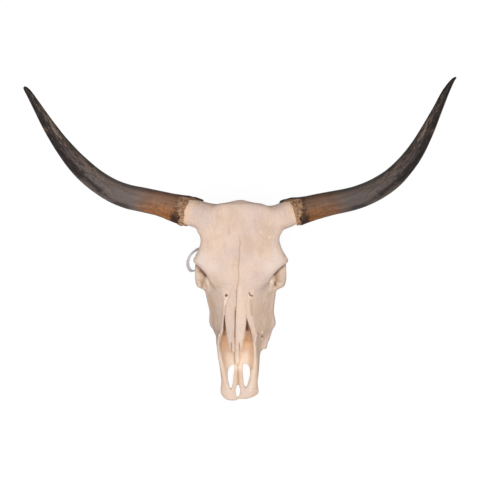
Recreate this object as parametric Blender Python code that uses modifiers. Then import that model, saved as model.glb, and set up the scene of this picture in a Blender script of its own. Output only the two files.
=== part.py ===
"""Longhorn steer skull without its lower jaw, life size, lying on its cheek teeth and the processes beside
its neck joint.  +X is the skull's own right seen from above, +Y runs from the muzzle to the poll, +Z is up.

The bone is first shaped as one mass from lofts and balls, its openings are cut, and it is then parted along
the sutures into the bones that a person would name.  The horns and the tie round the eye socket are added.
Tables are in millimetres; MM turns them into metres.
"""

import math

import bmesh
import bpy
from mathutils import Matrix, Vector

MM = 0.001

# ---- Driving dimensions ----------------------------------------------------------------------------
FLOOR = 0.0
SUTURE_GAP = 0.3 * MM
SHAPING_GRAIN = 2.6 * MM
SHAPING_PASSES = 5
BONE_TRIANGLES = 3900
HORN_SIDES = 16

# ---- Bone: rows are (y, centre height, half width, half height) --------------------------------------
ROOF = [
    (101, 214, 10, 7), (98, 213, 30, 12), (92, 212, 50, 17), (86, 212, 68, 21), (77, 211, 84, 24),
    (60, 209, 97, 26), (35, 207, 107, 26), (22, 206, 107, 26), (12, 204, 101, 26), (-1, 202, 98.5, 25),
    (-14, 198, 101.5, 25), (-28, 191, 107, 27), (-42, 183, 115, 29), (-51, 178, 119.5, 30), (-58, 176, 116, 30),
    (-70, 173, 101, 30), (-84, 169, 87, 30), (-97, 165, 80, 29), (-115, 158, 75, 29), (-140, 148, 62, 28),
    (-165, 140, 46, 24),
]
BRAINCASE = [
    (80, 136, 46, 50), (62, 138, 53, 60), (25, 140, 52, 64), (-15, 140, 47, 60), (-55, 136, 42, 56),
    (-95, 130, 48, 54), (-125, 124, 58, 50),
]
NAPE = [(46, 116, 60, 48), (62, 120, 78, 58), (76, 122, 76, 60), (85, 126, 60, 54)]
SKULL_BASE = [(80, 60, 15, 16), (50, 60, 20, 18), (20, 66, 18, 19), (-20, 74, 16, 19), (-60, 82, 15, 20)]
# ---- Face: rows are (y, top, ridge half width, cheek half width, cheek height, gum half width, base) ---
FACE = [
    (-90, 190, 52, 70, 130, 50, 60), (-118, 180, 44, 86, 112, 56, 46), (-136, 173, 38, 86, 98, 60, 36),
    (-152, 167, 34, 83.5, 90, 62, 32), (-178, 156, 34, 78.5, 78, 64, 30), (-204, 144, 38, 81.5, 66, 65, 30),
    (-226, 132, 43, 74, 62, 64, 30), (-246, 119, 47, 61, 60, 60, 30), (-268, 107, 47.5, 55, 58, 55, 32),
    (-292, 95, 46.5, 51, 56, 49, 36),
]
CHEEK_CREST = [  # (y, x, z, half width, half height)
    (-44, 102, 112, 9, 10), (-56, 103, 110, 11, 14), (-75, 100, 106, 15, 17), (-98, 98, 103, 17, 19),
    (-114, 94, 101, 17.5, 19), (-120, 90, 100, 16, 18.5), (-127, 80, 98, 11, 17.5), (-150, 74, 88, 12, 16),
    (-180, 70, 77, 11, 14),
    (-206, 72.5, 66, 11.5, 13), (-220, 69, 62, 11, 11), (-236, 58, 60, 7, 9),
]
NASAL = [  # one nasal bone: (y, x, z, half width, half height)
    (-106, 3, 187, 3, 3), (-118, 8.5, 181.5, 8.5, 5.5), (-138, 13.5, 172, 13.5, 6), (-165, 15, 160, 15, 6),
    (-192, 14.6, 149.5, 14.6, 6), (-218, 13.3, 141, 13.3, 6), (-242, 11.6, 134, 11.6, 5.5),
    (-262, 10.2, 127.5, 10.2, 5), (-274, 8.8, 124, 8.8, 4), (-281, 7.5, 122.5, 6, 2.5),
]
NASAL_NOTCH = [(-257, 10.5, 0.6), (-265, 10.6, 2), (-285, 11, 3)]  # (y, x, half width)
# ---- Muzzle: rows are (y, x, z, half width, half height) ----------------------------------------------
MUZZLE_BAR = [
    (-236, 46, 88, 7, 40), (-262, 46, 76, 6.5, 38), (-290, 45.5, 66, 6, 32), (-316, 43, 56, 7, 23),
    (-340, 39, 49, 9, 16), (-360, 34, 45, 12, 12), (-376, 30, 43, 16, 9),
]
MUZZLE_PLATE = [(-300, 43, 40, 7), (-330, 42, 40, 7), (-356, 41, 40, 7), (-372, 40, 44, 7.5)]
MUZZLE_LOBE_LEFT = [
    (-362, -29, 41, 17.5, 8), (-374, -27, 40, 21, 8.5), (-386, -24.5, 39, 24, 8.5), (-395, -22, 38.5, 22.5, 7.5),
    (-402, -19, 38, 17.5, 5.5), (-407, -17, 38, 10, 3),
]
MUZZLE_LOBE_RIGHT = [
    (-362, 29, 41, 17.5, 8), (-374, 27, 40, 21, 8.5), (-386, 25, 39, 24.5, 8.5), (-392, 21, 38.5, 24, 7.5),
    (-398, 15, 38, 18.5, 6), (-403, 10, 38, 11, 3.5),
]
PALATE = [(-120, 52, 40, 9), (-180, 46, 46, 7), (-240, 43, 46, 7), (-306, 43, 42, 6.5)]
VOMER = [  # (y, x, z, half width, half height)
    (-317, -4.5, 49, 4, 4), (-312, -4.5, 50, 6, 6), (-298, -4.5, 54, 6.5, 10), (-270, -3, 60, 6, 16),
    (-220, 0, 66, 5, 24),
]
# ---- Under the skull ---------------------------------------------------------------------------------
NECK_JOINT = [(27, 72, 56, 19, 17, 24, 20), (20, 58, 46, 13, 20, 14, 0)]  # x y z, half sizes, turn
JUGULAR_PROCESS = [  # (z, x, y, half x, half y)
    (92, 58, 62, 15, 13), (60, 55, 60, 11, 12), (30, 51, 54, 7.5, 10), (10, 48, 50, 6, 8.5), (-4, 47, 48, 5, 8),
]
WING_PLATE = [(-64, 20, 66, 4, 20), (-90, 22, 62, 4.5, 26), (-118, 25, 58, 5, 24), (-150, 30, 52, 8, 16)]
HOOK = [(70, 22, -72, 4, 8), (48, 23, -68, 3.5, 6), (32, 25, -62, 3, 4)]  # (z, x, y, half x, half y)
CHEEK_ARCH = [  # (y, x, z, half width, half height)
    (34, 66, 104, 10, 9), (18, 76, 103, 10, 9), (0, 86, 105, 8, 8), (-20, 93, 108, 6.5, 8), (-40, 100, 111, 6.5, 9),
    (-56, 104, 112, 7, 10),
]
EYE_BAR = [(180, 104, -44, 9, 9), (158, 107, -46, 6.5, 8), (138, 106, -47, 6, 8), (114, 104, -48, 7.5, 9)]
# ---- Openings ------------------------------------------------------------------------------------------
EYE_SOCKET = [  # (x, y, z, half length, half height)
    (140, -92, 146, 38, 36), (112, -89, 146, 34.5, 33), (96, -85, 145, 33, 31), (78, -78, 144, 27, 27),
    (62, -68, 142, 18, 19), (50, -60, 140, 9, 10),
]
NOSE_HOLLOW = [  # (y, x, z, half width, half height)
    (-396, 0, 70, 6, 20), (-372, 0, 72, 20, 24), (-352, 0, 78, 28, 29), (-330, 0, 86, 34.5, 37),
    (-316, 0, 96, 38, 47), (-282, 0, 112, 41.5, 62), (-250, -1, 122, 39, 70), (-226, -2.5, 132, 33, 76),
    (-204, -3, 136, 27, 74), (-186, -3, 132, 23, 66), (-176, -2, 110, 20, 38), (-162, 0, 104, 12, 22),
]
PALATE_SLOT_LEFT = [
    (-314, -16.5, 1.5), (-321, -19.5, 6), (-331, -22, 8.5), (-341, -23, 7.5), (-351, -23, 6.8), (-361, -22, 5.5),
    (-371, -22, 3.4), (-379, -22, 1),
]
PALATE_SLOT_RIGHT = [
    (-312, 10.5, 1.5), (-317, 14.5, 7), (-324, 17, 9.5), (-341, 17, 9.3), (-351, 17, 7.4), (-361, 16.2, 5.6),
    (-369, 16, 3.4), (-376, 16, 1),
]
TIP_GAP = [
    (-363, -3.8, 1), (-371, -4, 3.7), (-380, -4.3, 5.8), (-388, -4.3, 4.6), (-395, -4.3, 2.6), (-399, -4.3, 0.8),
]
THROAT = [(-50, 62, 12, 12), (-80, 58, 16, 20), (-118, 58, 19, 22), (-140, 56, 15, 14), (-152, 55, 8, 6)]
NECK_HOLE = (0, 92, 70, 17, 34, 15)

# ---- Cheek teeth: (length along the row, half width) from the front ------------------------------------
TEETH = [(17, 7.5), (19, 9), (20, 10), (25, 11.5), (28, 12.5), (29, 12)]
TOOTH_ROW_FRONT = -275
TOOTH_ROW_X = [(-275, 51.5), (-230, 55), (-180, 55), (-136, 50)]
TOOTH_ROW_SHIFT = [(-275, 7.5), (-235, 7.5), (-200, 4), (-136, 4)]  # (y, shift to the right)
GUM_HEIGHT = 21

# ---- Horns: their bony necks, then the sheaths, whose rows are (x, y, z, radius) ---------------------------
NECK_LEFT = [  # (x, y, z, half y, half z)
    (-50, 52, 190, 34, 25), (-80, 56, 190, 37, 28), (-100, 62, 189, 37.5, 31), (-118, 69, 188, 36.5, 32),
    (-138, 72, 187.5, 37, 33),
]
NECK_RIGHT = [
    (50, 50, 190, 33, 25), (80, 52, 190, 34.5, 28), (100, 57.5, 189, 35.5, 31), (118, 65, 188, 36, 32),
    (138, 69.5, 187.5, 36, 33),
]
COLLAR_X = 134
HORN_LEFT = [
    (-134, 73, 187, 37.3), (-160, 79.5, 187, 35.6), (-200, 91, 187, 31.5), (-241, 100, 188, 31),
    (-281, 109, 190, 30.3), (-320, 124.2, 194, 29), (-360, 149.5, 200, 27.3), (-400, 184.2, 209, 25.5),
    (-439, 230, 222, 20.8), (-475, 282, 238, 16), (-506, 334, 256, 11), (-530, 373, 270, 5.4),
    (-537, 383, 274, 2.8),
]
HORN_RIGHT = [
    (134, 70, 187, 35.6), (160, 75, 187, 33.8), (190, 83, 187, 31.7), (229, 91.8, 188, 30), (270, 100.4, 190, 29.3),
    (310, 112.8, 193, 28.8), (351, 133, 198, 27.6), (391.5, 163.5, 206, 25.5), (431, 210, 219, 22),
    (461.5, 262, 234, 17.8), (490, 321.5, 254, 12.6), (510, 365.5, 268, 9.2), (527, 394.5, 278, 5.2),
    (536.5, 404, 281, 2.2),
]

# ---- The tie round the arch and the bar behind the left eye: (x, y, z) of its middle line ------------------
TIE_LOOP = [
    (-98, -20, 159), (-113, -27, 163), (-125, -39, 160), (-131, -54, 149), (-130, -67, 131), (-124, -77, 108),
    (-114, -77, 88), (-100, -68, 80), (-89, -53, 86), (-84, -39, 102), (-85, -28, 124), (-90, -21, 145),
]
TIE_HALF_WIDTH = 4.2 * MM
TIE_HALF_THICKNESS = 0.9 * MM
TIE_TILT = math.radians(62)

# ---- Sutures, in millimetres ---------------------------------------------------------------------------
BROW_FRONT_Y = -118
BROW_UNDERSIDE_Z = 142
NAPE_Y = 45
TEMPLE_X = 60
CHEEK_BACK_Y = -28
TEAR_BONE = ((20, -150, 114), (140, -100, 240))  # the block that holds the lacrimal bone, low and high corner
MUZZLE_SUTURE = ((0, -262, 84), (0, -0.62, 0.78))  # a point and the normal of the cut before the cheek teeth
JAW_MIDLINE = ((2, -200, 95), (1, 0, 0.15))
MUZZLE_MIDLINE = ((-4.8, 0, 0), (1, 0, 0))

# ---- The muzzle leans a little to the left, its roof more than its cheeks --------------------------------
LEAN_START_Y = -50
LEAN_FULL_Y = -200
LEAN_TURN = 0.15
LEAN_PIVOT_Z = 95
LEAN_LOWEST_Z = 55
SIDE_SHIFTS = [(10, -40, -1.6), (-225, -262, 8.5), (-330, -365, 0.4)]  # between these y, so much to the left
NASAL_SHIFTS = [(10, -40, -1.6), (-90, -130, 3.4), (-130, -262, 5.1)]  # the same for the nasal bones

# ---- Small tools -------------------------------------------------------------------------------------
def clear_scene():
    for thing in list(bpy.data.objects):
        bpy.data.objects.remove(thing, do_unlink=True)


def collection(name):
    made = bpy.data.collections.new(name)
    bpy.context.scene.collection.children.link(made)
    return made


def add_mesh(name, points, faces):
    mesh = bpy.data.meshes.new(name)
    mesh.from_pydata(points, [], faces)
    mesh.update()
    made = bpy.data.objects.new(name, mesh)
    bpy.context.scene.collection.objects.link(made)
    return made


def rounded_ring(half_width, half_height, roundness, sides):
    """A closed outline between an ellipse (roundness 2) and a box."""
    ring = []
    for step in range(sides):
        angle = 2 * math.pi * (step + 0.5) / sides
        c, s = math.cos(angle), math.sin(angle)
        across = math.copysign(abs(c) ** (2 / roundness), c) * half_width
        up = math.copysign(abs(s) ** (2 / roundness), s) * half_height
        ring.append((across, up))
    return ring


def skin_rings(name, rings):
    """Closes a row of like rings, each a list of points, into one solid."""
    sides = len(rings[0])
    points = [Vector(point) * MM for ring in rings for point in ring]
    faces = [tuple(range(sides)), tuple(range(len(points) - 1, len(points) - 1 - sides, -1))]
    for first in range(0, len(points) - sides, sides):
        for side in range(sides):
            after = (side + 1) % sides
            faces.append((first + side, first + sides + side, first + sides + after, first + after))
    made = add_mesh(name, points, faces)
    face_outwards(made)
    return made


def face_outwards(thing):
    shape = bmesh.new()
    shape.from_mesh(thing.data)
    bmesh.ops.recalc_face_normals(shape, faces=shape.faces)
    shape.to_mesh(thing.data)
    shape.free()


def smooth_rows(rows, steps=3):
    """The rows with others between them, on a Catmull-Rom curve."""
    rows = [tuple(row) for row in rows]
    padded = [rows[0]] + rows + [rows[-1]]
    made = []
    for before, start, end, after in zip(padded, padded[1:], padded[2:], padded[3:]):
        for step in range(steps):
            t = step / steps
            made.append(tuple(
                0.5 * (2 * q + (r - p) * t + (2 * p - 5 * q + 4 * r - s) * t * t + (3 * q - p - 3 * r + s) * t ** 3)
                for p, q, r, s in zip(before, start, end, after)
            ))
    return made + [rows[-1]]


def loft_y(name, rows, roundness=2.4, sides=28):
    """A mass along Y from rows (y, x, z, half width, half height), or without the x where it is 0."""
    rows = [row if len(row) == 5 else (row[0], 0, *row[1:]) for row in rows]
    rings = []
    for y, x, z, half_width, half_height in rows:
        ring = rounded_ring(half_width, half_height, roundness, sides)
        rings.append([(x + across, y, z + up) for across, up in ring])
    return skin_rings(name, rings)


def loft_x(name, rows, roundness=2.2, sides=28):
    """A mass along X from rows (x, y, z, half y, half z)."""
    rings = []
    for x, y, z, half_y, half_z in rows:
        ring = rounded_ring(half_y, half_z, roundness, sides)
        rings.append([(x, y + across, z + up) for across, up in ring])
    return skin_rings(name, rings)


def loft_z(name, rows, roundness=2.2, sides=20):
    """A mass along Z from rows (z, x, y, half x, half y)."""
    rings = []
    for z, x, y, half_x, half_y in rows:
        ring = rounded_ring(half_x, half_y, roundness, sides)
        rings.append([(x + across, y + up, z) for across, up in ring])
    return skin_rings(name, rings)


def ball(name, x, y, z, across, along, high, turn=0):
    """A ball of half sizes across, along and high, turned about Z by so many degrees."""
    bpy.ops.mesh.primitive_uv_sphere_add(segments=28, ring_count=18, radius=1)
    made = bpy.context.object
    made.name = name
    size = Matrix.Diagonal((across * MM, along * MM, high * MM, 1))
    made.data.transform(Matrix.Rotation(math.radians(turn), 4, "Z") @ size)
    made.data.transform(Matrix.Translation(Vector((x, y, z)) * MM))
    return made


def mirrored(thing):
    """A copy of the thing on the skull's other side."""
    twin = thing.copy()
    twin.data = thing.data.copy()
    bpy.context.scene.collection.objects.link(twin)
    twin.data.transform(Matrix.Scale(-1, 4, Vector((1, 0, 0))))
    twin.data.flip_normals()
    return twin


def pair(thing):
    return [thing, mirrored(thing)]


def joined(name, things):
    bpy.ops.object.select_all(action="DESELECT")
    for thing in things:
        thing.select_set(True)
    bpy.context.view_layer.objects.active = things[0]
    bpy.ops.object.join()
    made = bpy.context.object
    made.name = name
    return made


def apply_modifiers(thing):
    bpy.ops.object.select_all(action="DESELECT")
    thing.select_set(True)
    bpy.context.view_layer.objects.active = thing
    for modifier in list(thing.modifiers):
        bpy.ops.object.modifier_apply(modifier=modifier.name)


def fuse(thing, grain):
    """Makes the masses that overlap in a thing one closed skin."""
    remesh = thing.modifiers.new("Fuse", "REMESH")
    remesh.mode = "VOXEL"
    remesh.voxel_size = grain
    remesh.adaptivity = 0
    apply_modifiers(thing)
    keep_outer_skin(thing)


def keep_outer_skin(thing):
    """Drops the closed pockets inside: all but the largest connected shell."""
    shape = bmesh.new()
    shape.from_mesh(thing.data)
    shape.verts.ensure_lookup_table()
    seen = set()
    shells = []
    for vert in shape.verts:
        if vert.index in seen:
            continue
        seen.add(vert.index)
        shell = [vert]
        for member in shell:
            for edge in member.link_edges:
                other = edge.other_vert(member)
                if other.index not in seen:
                    seen.add(other.index)
                    shell.append(other)
        shells.append(shell)
    shells.sort(key=len)
    bmesh.ops.delete(shape, geom=[vert for shell in shells[:-1] for vert in shell], context="VERTS")
    shape.to_mesh(thing.data)
    shape.free()


def soften(thing, passes, factor=0.5):
    smooth = thing.modifiers.new("Soften", "SMOOTH")
    smooth.factor = factor
    smooth.iterations = passes
    apply_modifiers(thing)


def combine(thing, other, operation, solver="EXACT"):
    """The exact solver loses whole pieces of the thinned bone, so parting it asks for the other one."""
    boolean = thing.modifiers.new("Combine", "BOOLEAN")
    boolean.operation = operation
    boolean.solver = solver
    boolean.object = other
    apply_modifiers(thing)


def cut(thing, cutter, solver="EXACT"):
    combine(thing, cutter, "DIFFERENCE", solver)
    bpy.data.objects.remove(cutter, do_unlink=True)


# ---- The bone as one mass ------------------------------------------------------------------------------
def face_mass():
    """The upper jaw and the walls of the nose: a tent over the palate, from the eyes to the muzzle."""
    rings = []
    for y, top, ridge, cheek, cheek_z, gum, base in smooth_rows(FACE, 2):
        half = [
            (ridge * 0.45, top), (ridge, top - 4), (0.45 * ridge + 0.55 * cheek + 3, 0.48 * top + 0.52 * cheek_z),
            (cheek, cheek_z + 5), (cheek - 2, cheek_z - 8), (gum, base + 4), (gum - 8, base), (gum * 0.4, base + 4),
        ]
        right = [(x, y, z) for x, z in half]
        left = [(-x, y, z) for x, z in reversed(half)]
        rings.append(right + left)
    return skin_rings("face", rings)


def along_row(table, y):
    for (start, low), (end, high) in zip(table, table[1:]):
        if start <= y <= end:
            return low + (high - low) * (y - start) / (end - start)
    return table[-1][1]


def tooth_row(side):
    """Three premolars and three molars with their gum, each a block worn flat at the floor."""
    made = []
    front = TOOTH_ROW_FRONT
    for length, half_width in TEETH:
        y = front + length / 2
        x = side * along_row(TOOTH_ROW_X, y) + along_row(TOOTH_ROW_SHIFT, y)
        half = length / 2
        rows = [
            (-6, x + side, y, half_width - 0.6, half - 0.9), (8, x + side / 2, y, half_width, half - 0.5),
            (GUM_HEIGHT, x, y, half_width + 0.6, half - 0.2), (GUM_HEIGHT + 3, x, y, half_width + 3, half + 1),
            (46, x - 2 * side, y, half_width + 5, half + 2), (56, x - 4 * side, y, half_width, half),
        ]
        made.append(loft_z("tooth", rows, roundness=3))
        front += length
    return made


def bone_mass():
    masses = [
        loft_y("roof", smooth_rows(ROOF, 2), roundness=2.7, sides=44),
        loft_y("braincase", smooth_rows(BRAINCASE)),
        loft_y("nape", NAPE, roundness=2.6),
        loft_y("base", smooth_rows(SKULL_BASE)),
        face_mass(),
        loft_y("muzzle plate", MUZZLE_PLATE, roundness=3),
        loft_y("palate", PALATE, roundness=3.2),
        loft_x("horn neck", smooth_rows(NECK_LEFT)),
        loft_x("horn neck", smooth_rows(NECK_RIGHT)),
    ]
    for lobe in (MUZZLE_LOBE_LEFT, MUZZLE_LOBE_RIGHT):
        masses.append(loft_y("muzzle lobe", smooth_rows(lobe), roundness=2.6))
    for side in (
        loft_y("cheek crest", smooth_rows(CHEEK_CREST)),
        loft_y("cheek arch", smooth_rows(CHEEK_ARCH)),
        loft_z("eye bar", smooth_rows(EYE_BAR)),
        loft_y("muzzle bar", smooth_rows(MUZZLE_BAR)),
        loft_z("jugular process", smooth_rows(JUGULAR_PROCESS)),
        loft_y("wing plate", smooth_rows(WING_PLATE)),
        loft_z("hook", HOOK),
        ball("eye floor", 88, -92, 106, 20, 26, 13),
        ball("ear capsule", 38, 34, 60, 12, 18, 22),
        ball("ear opening", 66, 40, 96, 13, 13, 12),
        ball("jaw joint", 68, 6, 96, 22, 13, 9),
        ball("base knob", 12, 34, 48, 8, 10, 9),
        *(ball("neck joint", *row) for row in NECK_JOINT),
    ):
        masses += pair(side)
    for side in (1, -1):
        masses += tooth_row(side)
    whole = joined("bone", masses)
    fuse(whole, SHAPING_GRAIN)
    soften(whole, SHAPING_PASSES)
    return whole


def slot_through(name, rows, low, high):
    """An upright slot from rows (y, x, half width)."""
    rings = []
    for y, x, half_width in rows:
        rings.append([(x - half_width, y, low), (x + half_width, y, low), (x + half_width, y, high),
                      (x - half_width, y, high)])
    return skin_rings(name, rings)


def openings():
    cutters = [
        loft_y("nose hollow", smooth_rows(NOSE_HOLLOW), roundness=2.6),
        loft_y("throat", smooth_rows(THROAT)),
        ball("neck hole", *NECK_HOLE),
    ]
    for rows in (TIP_GAP, PALATE_SLOT_LEFT, PALATE_SLOT_RIGHT):
        cutters.append(slot_through("slot", smooth_rows(rows), 20, 80))
    cutters += pair(loft_x("eye socket", smooth_rows(EYE_SOCKET)))
    return cutters


def shape_bone():
    bone = bone_mass()
    for cutter in openings():
        cut(bone, cutter)
    fuse(bone, SHAPING_GRAIN)
    soften(bone, SHAPING_PASSES)
    return bone


def thin_out(thing, triangles):
    now = sum(len(face.vertices) - 2 for face in thing.data.polygons)
    decimate = thing.modifiers.new("Thin out", "DECIMATE")
    decimate.ratio = triangles / now
    apply_modifiers(thing)


# ---- Parting -------------------------------------------------------------------------------------------
def block(name, low, high):
    bpy.ops.mesh.primitive_cube_add(size=1)
    made = bpy.context.object
    made.name = name
    low, high = Vector(low) * MM, Vector(high) * MM
    made.data.transform(Matrix.Diagonal((*(high - low), 1)))
    made.data.transform(Matrix.Translation((low + high) / 2))
    return made


def beyond(point, normal):
    """A large block that fills all space beyond a plane, held back from it by half the gap."""
    made = block("beyond", (-1000, -1000, 0), (1000, 1000, 2000))
    normal = Vector(normal).normalized()
    made.data.transform(normal.to_track_quat("Z", "Y").to_matrix().to_4x4())
    made.data.transform(Matrix.Translation(Vector(point) * MM + normal * SUTURE_GAP / 2))
    return made


def kept_within(thing, region, name):
    piece = thing.copy()
    piece.data = thing.data.copy()
    piece.name = name
    bpy.context.scene.collection.objects.link(piece)
    combine(piece, region, "INTERSECT", "MANIFOLD")
    bpy.data.objects.remove(region, do_unlink=True)
    return piece


def parted(thing, point, normal, ahead_name, behind_name):
    """Parts a thing at a plane: the piece on the side the normal points to, then the other one."""
    ahead = kept_within(thing, beyond(point, normal), ahead_name)
    behind = kept_within(thing, beyond(point, -Vector(normal)), behind_name)
    bpy.data.objects.remove(thing, do_unlink=True)
    return ahead, behind


def carved(thing, low, high, inside_name):
    """Takes the piece inside a block out of a thing, with a gap round it."""
    gap = SUTURE_GAP / MM
    inner_low = [value + gap for value in low]
    inner_high = [value - gap for value in high]
    inside = kept_within(thing, block("inner", inner_low, inner_high), inside_name)
    cut(thing, block("outer", low, high), "MANIFOLD")
    return inside


def grown(thing):
    """A copy of a thing that is larger all round by the gap."""
    bed = thing.copy()
    bed.data = thing.data.copy()
    bpy.context.scene.collection.objects.link(bed)
    displace = bed.modifiers.new("Grow", "DISPLACE")
    displace.strength = SUTURE_GAP
    displace.mid_level = 0
    apply_modifiers(bed)
    return bed


def side_name(word, side):
    return f"{word}_{'right' if side > 0 else 'left'}"


def nasal_bone(side):
    """The long roof bone of the nose on one side, forked at its tip."""
    gap = SUTURE_GAP / MM
    rows = [(y, side * x, z, half_width - gap / 2, half_height) for y, x, z, half_width, half_height in NASAL]
    bone = loft_y(side_name("nasal", side), rows, roundness=2.3, sides=14)
    notch = [(y, side * x, half_width) for y, x, half_width in NASAL_NOTCH]
    cut(bone, slot_through("notch", notch, 90, 150))
    return bone


def ramp(y, start, end):
    """0 behind the start, 1 in front of the end, straight between them."""
    return min(max((start - y) / (start - end), 0), 1)


def lean(thing, side_shifts=SIDE_SHIFTS):
    """Turns the face a little to the left, the more so the higher it stands, and sets it off the middle."""
    for vert in thing.data.vertices:
        y, z = vert.co.y / MM, max(vert.co.z / MM, LEAN_LOWEST_Z)
        reach = ramp(y, LEAN_START_Y, LEAN_FULL_Y)
        shift = -reach * reach * (3 - 2 * reach) * LEAN_TURN * (z - LEAN_PIVOT_Z)
        for start, end, amount in side_shifts:
            shift -= amount * ramp(y, start, end)
        vert.co.x += shift * MM


def part_bones(bone):
    nasals = [nasal_bone(side) for side in (1, -1)]
    vomer = loft_y("vomer", smooth_rows(VOMER, 2), sides=12)
    for nasal in nasals:
        lean(nasal, NASAL_SHIFTS)
    for thing in (vomer, bone):
        lean(thing)
    for seated in nasals + [vomer]:
        cut(bone, grown(seated), "MANIFOLD")
    keep_outer_skin(bone)
    rear, front = parted(bone, (0, BROW_FRONT_Y, 0), (0, 1, 0), "rear", "front")
    frontal, base = parted(rear, (0, 0, BROW_UNDERSIDE_Z), (0, -0.04, 1), "frontal", "base")
    occipital, middle = parted(base, (0, NAPE_Y, 0), (0, 1, 0), "occipital", "middle")
    pieces = nasals + [vomer, frontal, occipital]
    for side in (1, -1):
        outer, middle = parted(middle, (side * TEMPLE_X, 0, 0), (side, 0, 0), "outer", "inner")
        pieces += parted(outer, (0, CHEEK_BACK_Y, 0), (0, 1, 0), side_name("temporal", side),
                         side_name("zygomatic", side))
    middle.name = "braincase"
    pieces.append(middle)
    for side in (1, -1):
        (low_x, low_y, low_z), (high_x, high_y, high_z) = TEAR_BONE
        low = (low_x if side > 0 else -high_x, low_y, low_z)
        high = (high_x if side > 0 else -low_x, high_y, high_z)
        pieces.append(carved(front, low, high, side_name("lacrimal", side)))
    muzzle, jaw = parted(front, *MUZZLE_SUTURE, "muzzle", "jaw")
    for whole, word, midline in ((muzzle, "premaxilla", MUZZLE_MIDLINE), (jaw, "maxilla", JAW_MIDLINE)):
        pieces += parted(whole, *midline, side_name(word, 1), side_name(word, -1))
    for piece in pieces:
        keep_outer_skin(piece)
    return pieces


def stand_on_floor(piece):
    low = min(vert.co.z for vert in piece.data.vertices)
    if low < FLOOR:
        under = block("under", (-1000, -1000, -1000), (1000, 1000, 0))
        cut(piece, under, "MANIFOLD")


# ---- Horns and tie ---------------------------------------------------------------------------------------
def solid_from_curve(made):
    """The curve's shape as one closed mesh, with its caps welded on."""
    bpy.context.view_layer.update()
    seen = made.evaluated_get(bpy.context.evaluated_depsgraph_get())
    mesh = bpy.data.meshes.new_from_object(seen)
    shape = bmesh.new()
    shape.from_mesh(mesh)
    bmesh.ops.remove_doubles(shape, verts=shape.verts, dist=0.00001)
    bmesh.ops.recalc_face_normals(shape, faces=shape.faces)
    shape.to_mesh(mesh)
    shape.free()
    solid = bpy.data.objects.new(made.name, mesh)
    solid.matrix_world = made.matrix_world
    bpy.context.scene.collection.objects.link(solid)
    name = made.name
    bpy.data.objects.remove(made, do_unlink=True)
    solid.name = name
    return solid


def horn(name, rows):
    """A horn sheath that tapers and bends along its path, cut square where it meets the neck."""
    data = bpy.data.curves.new(name, "CURVE")
    data.dimensions = "3D"
    data.bevel_depth = MM
    data.bevel_resolution = HORN_SIDES // 4 - 1
    data.use_fill_caps = True
    start = rows[0]
    inward = -10 if start[0] > 0 else 10
    path = [(start[0] + inward, *start[1:])] + smooth_rows(rows, 2)
    spline = data.splines.new("POLY")
    spline.points.add(len(path) - 1)
    for point, (x, y, z, radius) in zip(spline.points, path):
        point.co = (x * MM, y * MM, z * MM, 1)
        point.radius = radius
    made = bpy.data.objects.new(name, data)
    bpy.context.scene.collection.objects.link(made)
    made = solid_from_curve(made)
    side = 1 if start[0] > 0 else -1
    return kept_of_two(made, (side * COLLAR_X, 0, 0), (side, 0, 0), name)


def kept_of_two(thing, point, normal, name):
    kept, other = parted(thing, point, normal, name, "offcut")
    bpy.data.objects.remove(other, do_unlink=True)
    kept.name = name
    return kept


def tie():
    """A flat plastic strap closed round the bar behind the left eye."""
    data = bpy.data.curves.new("tie_loop", "CURVE")
    data.dimensions = "3D"
    data.extrude = TIE_HALF_WIDTH
    data.bevel_depth = TIE_HALF_THICKNESS
    data.bevel_resolution = 0
    path = smooth_rows(TIE_LOOP + TIE_LOOP[:1], 2)[:-1]
    spline = data.splines.new("POLY")
    spline.points.add(len(path) - 1)
    for point, (x, y, z) in zip(spline.points, path):
        point.co = (x * MM, y * MM, z * MM, 1)
        point.tilt = TIE_TILT
    spline.use_cyclic_u = True
    made = bpy.data.objects.new("tie_loop", data)
    bpy.context.scene.collection.objects.link(made)
    return solid_from_curve(made)


def trim_necks(bone):
    for side in (1, -1):
        bone = kept_of_two(bone, (side * COLLAR_X, 0, 0), (-side, 0, 0), "bone")
    return bone


# ---- Finish ----------------------------------------------------------------------------------------------
def material(name, colour, roughness):
    made = bpy.data.materials.new(name)
    made.use_nodes = True
    shader = made.node_tree.nodes["Principled BSDF"]
    shader.inputs["Base Color"].default_value = (*colour, 1)
    shader.inputs["Roughness"].default_value = roughness
    shader.inputs["Metallic"].default_value = 0
    return made


def dress(pieces, home, colour, roughness):
    for piece in pieces:
        piece.data.materials.clear()
        piece.data.materials.append(material(piece.name, colour, roughness))
        for holder in list(piece.users_collection):
            holder.objects.unlink(piece)
        home.objects.link(piece)


def build():
    clear_scene()
    home = collection("longhorn_skull")
    bone = trim_necks(shape_bone())
    thin_out(bone, BONE_TRIANGLES)
    bones = part_bones(bone)
    for piece in bones:
        stand_on_floor(piece)
    dress(bones, home, (0.72, 0.56, 0.43), 0.6)
    dress([horn("horn_left", HORN_LEFT), horn("horn_right", HORN_RIGHT)], home, (0.09, 0.065, 0.05), 0.42)
    dress([tie()], home, (0.6, 0.6, 0.62), 0.3)


build()
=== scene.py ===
"""A longhorn steer skull without its lower jaw, lying on a pale floor and seen from straight above."""

import math
from contextlib import contextmanager

import bmesh
import bpy
import numpy as np
from mathutils import Matrix, Vector, noise
from mathutils.kdtree import KDTree


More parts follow.
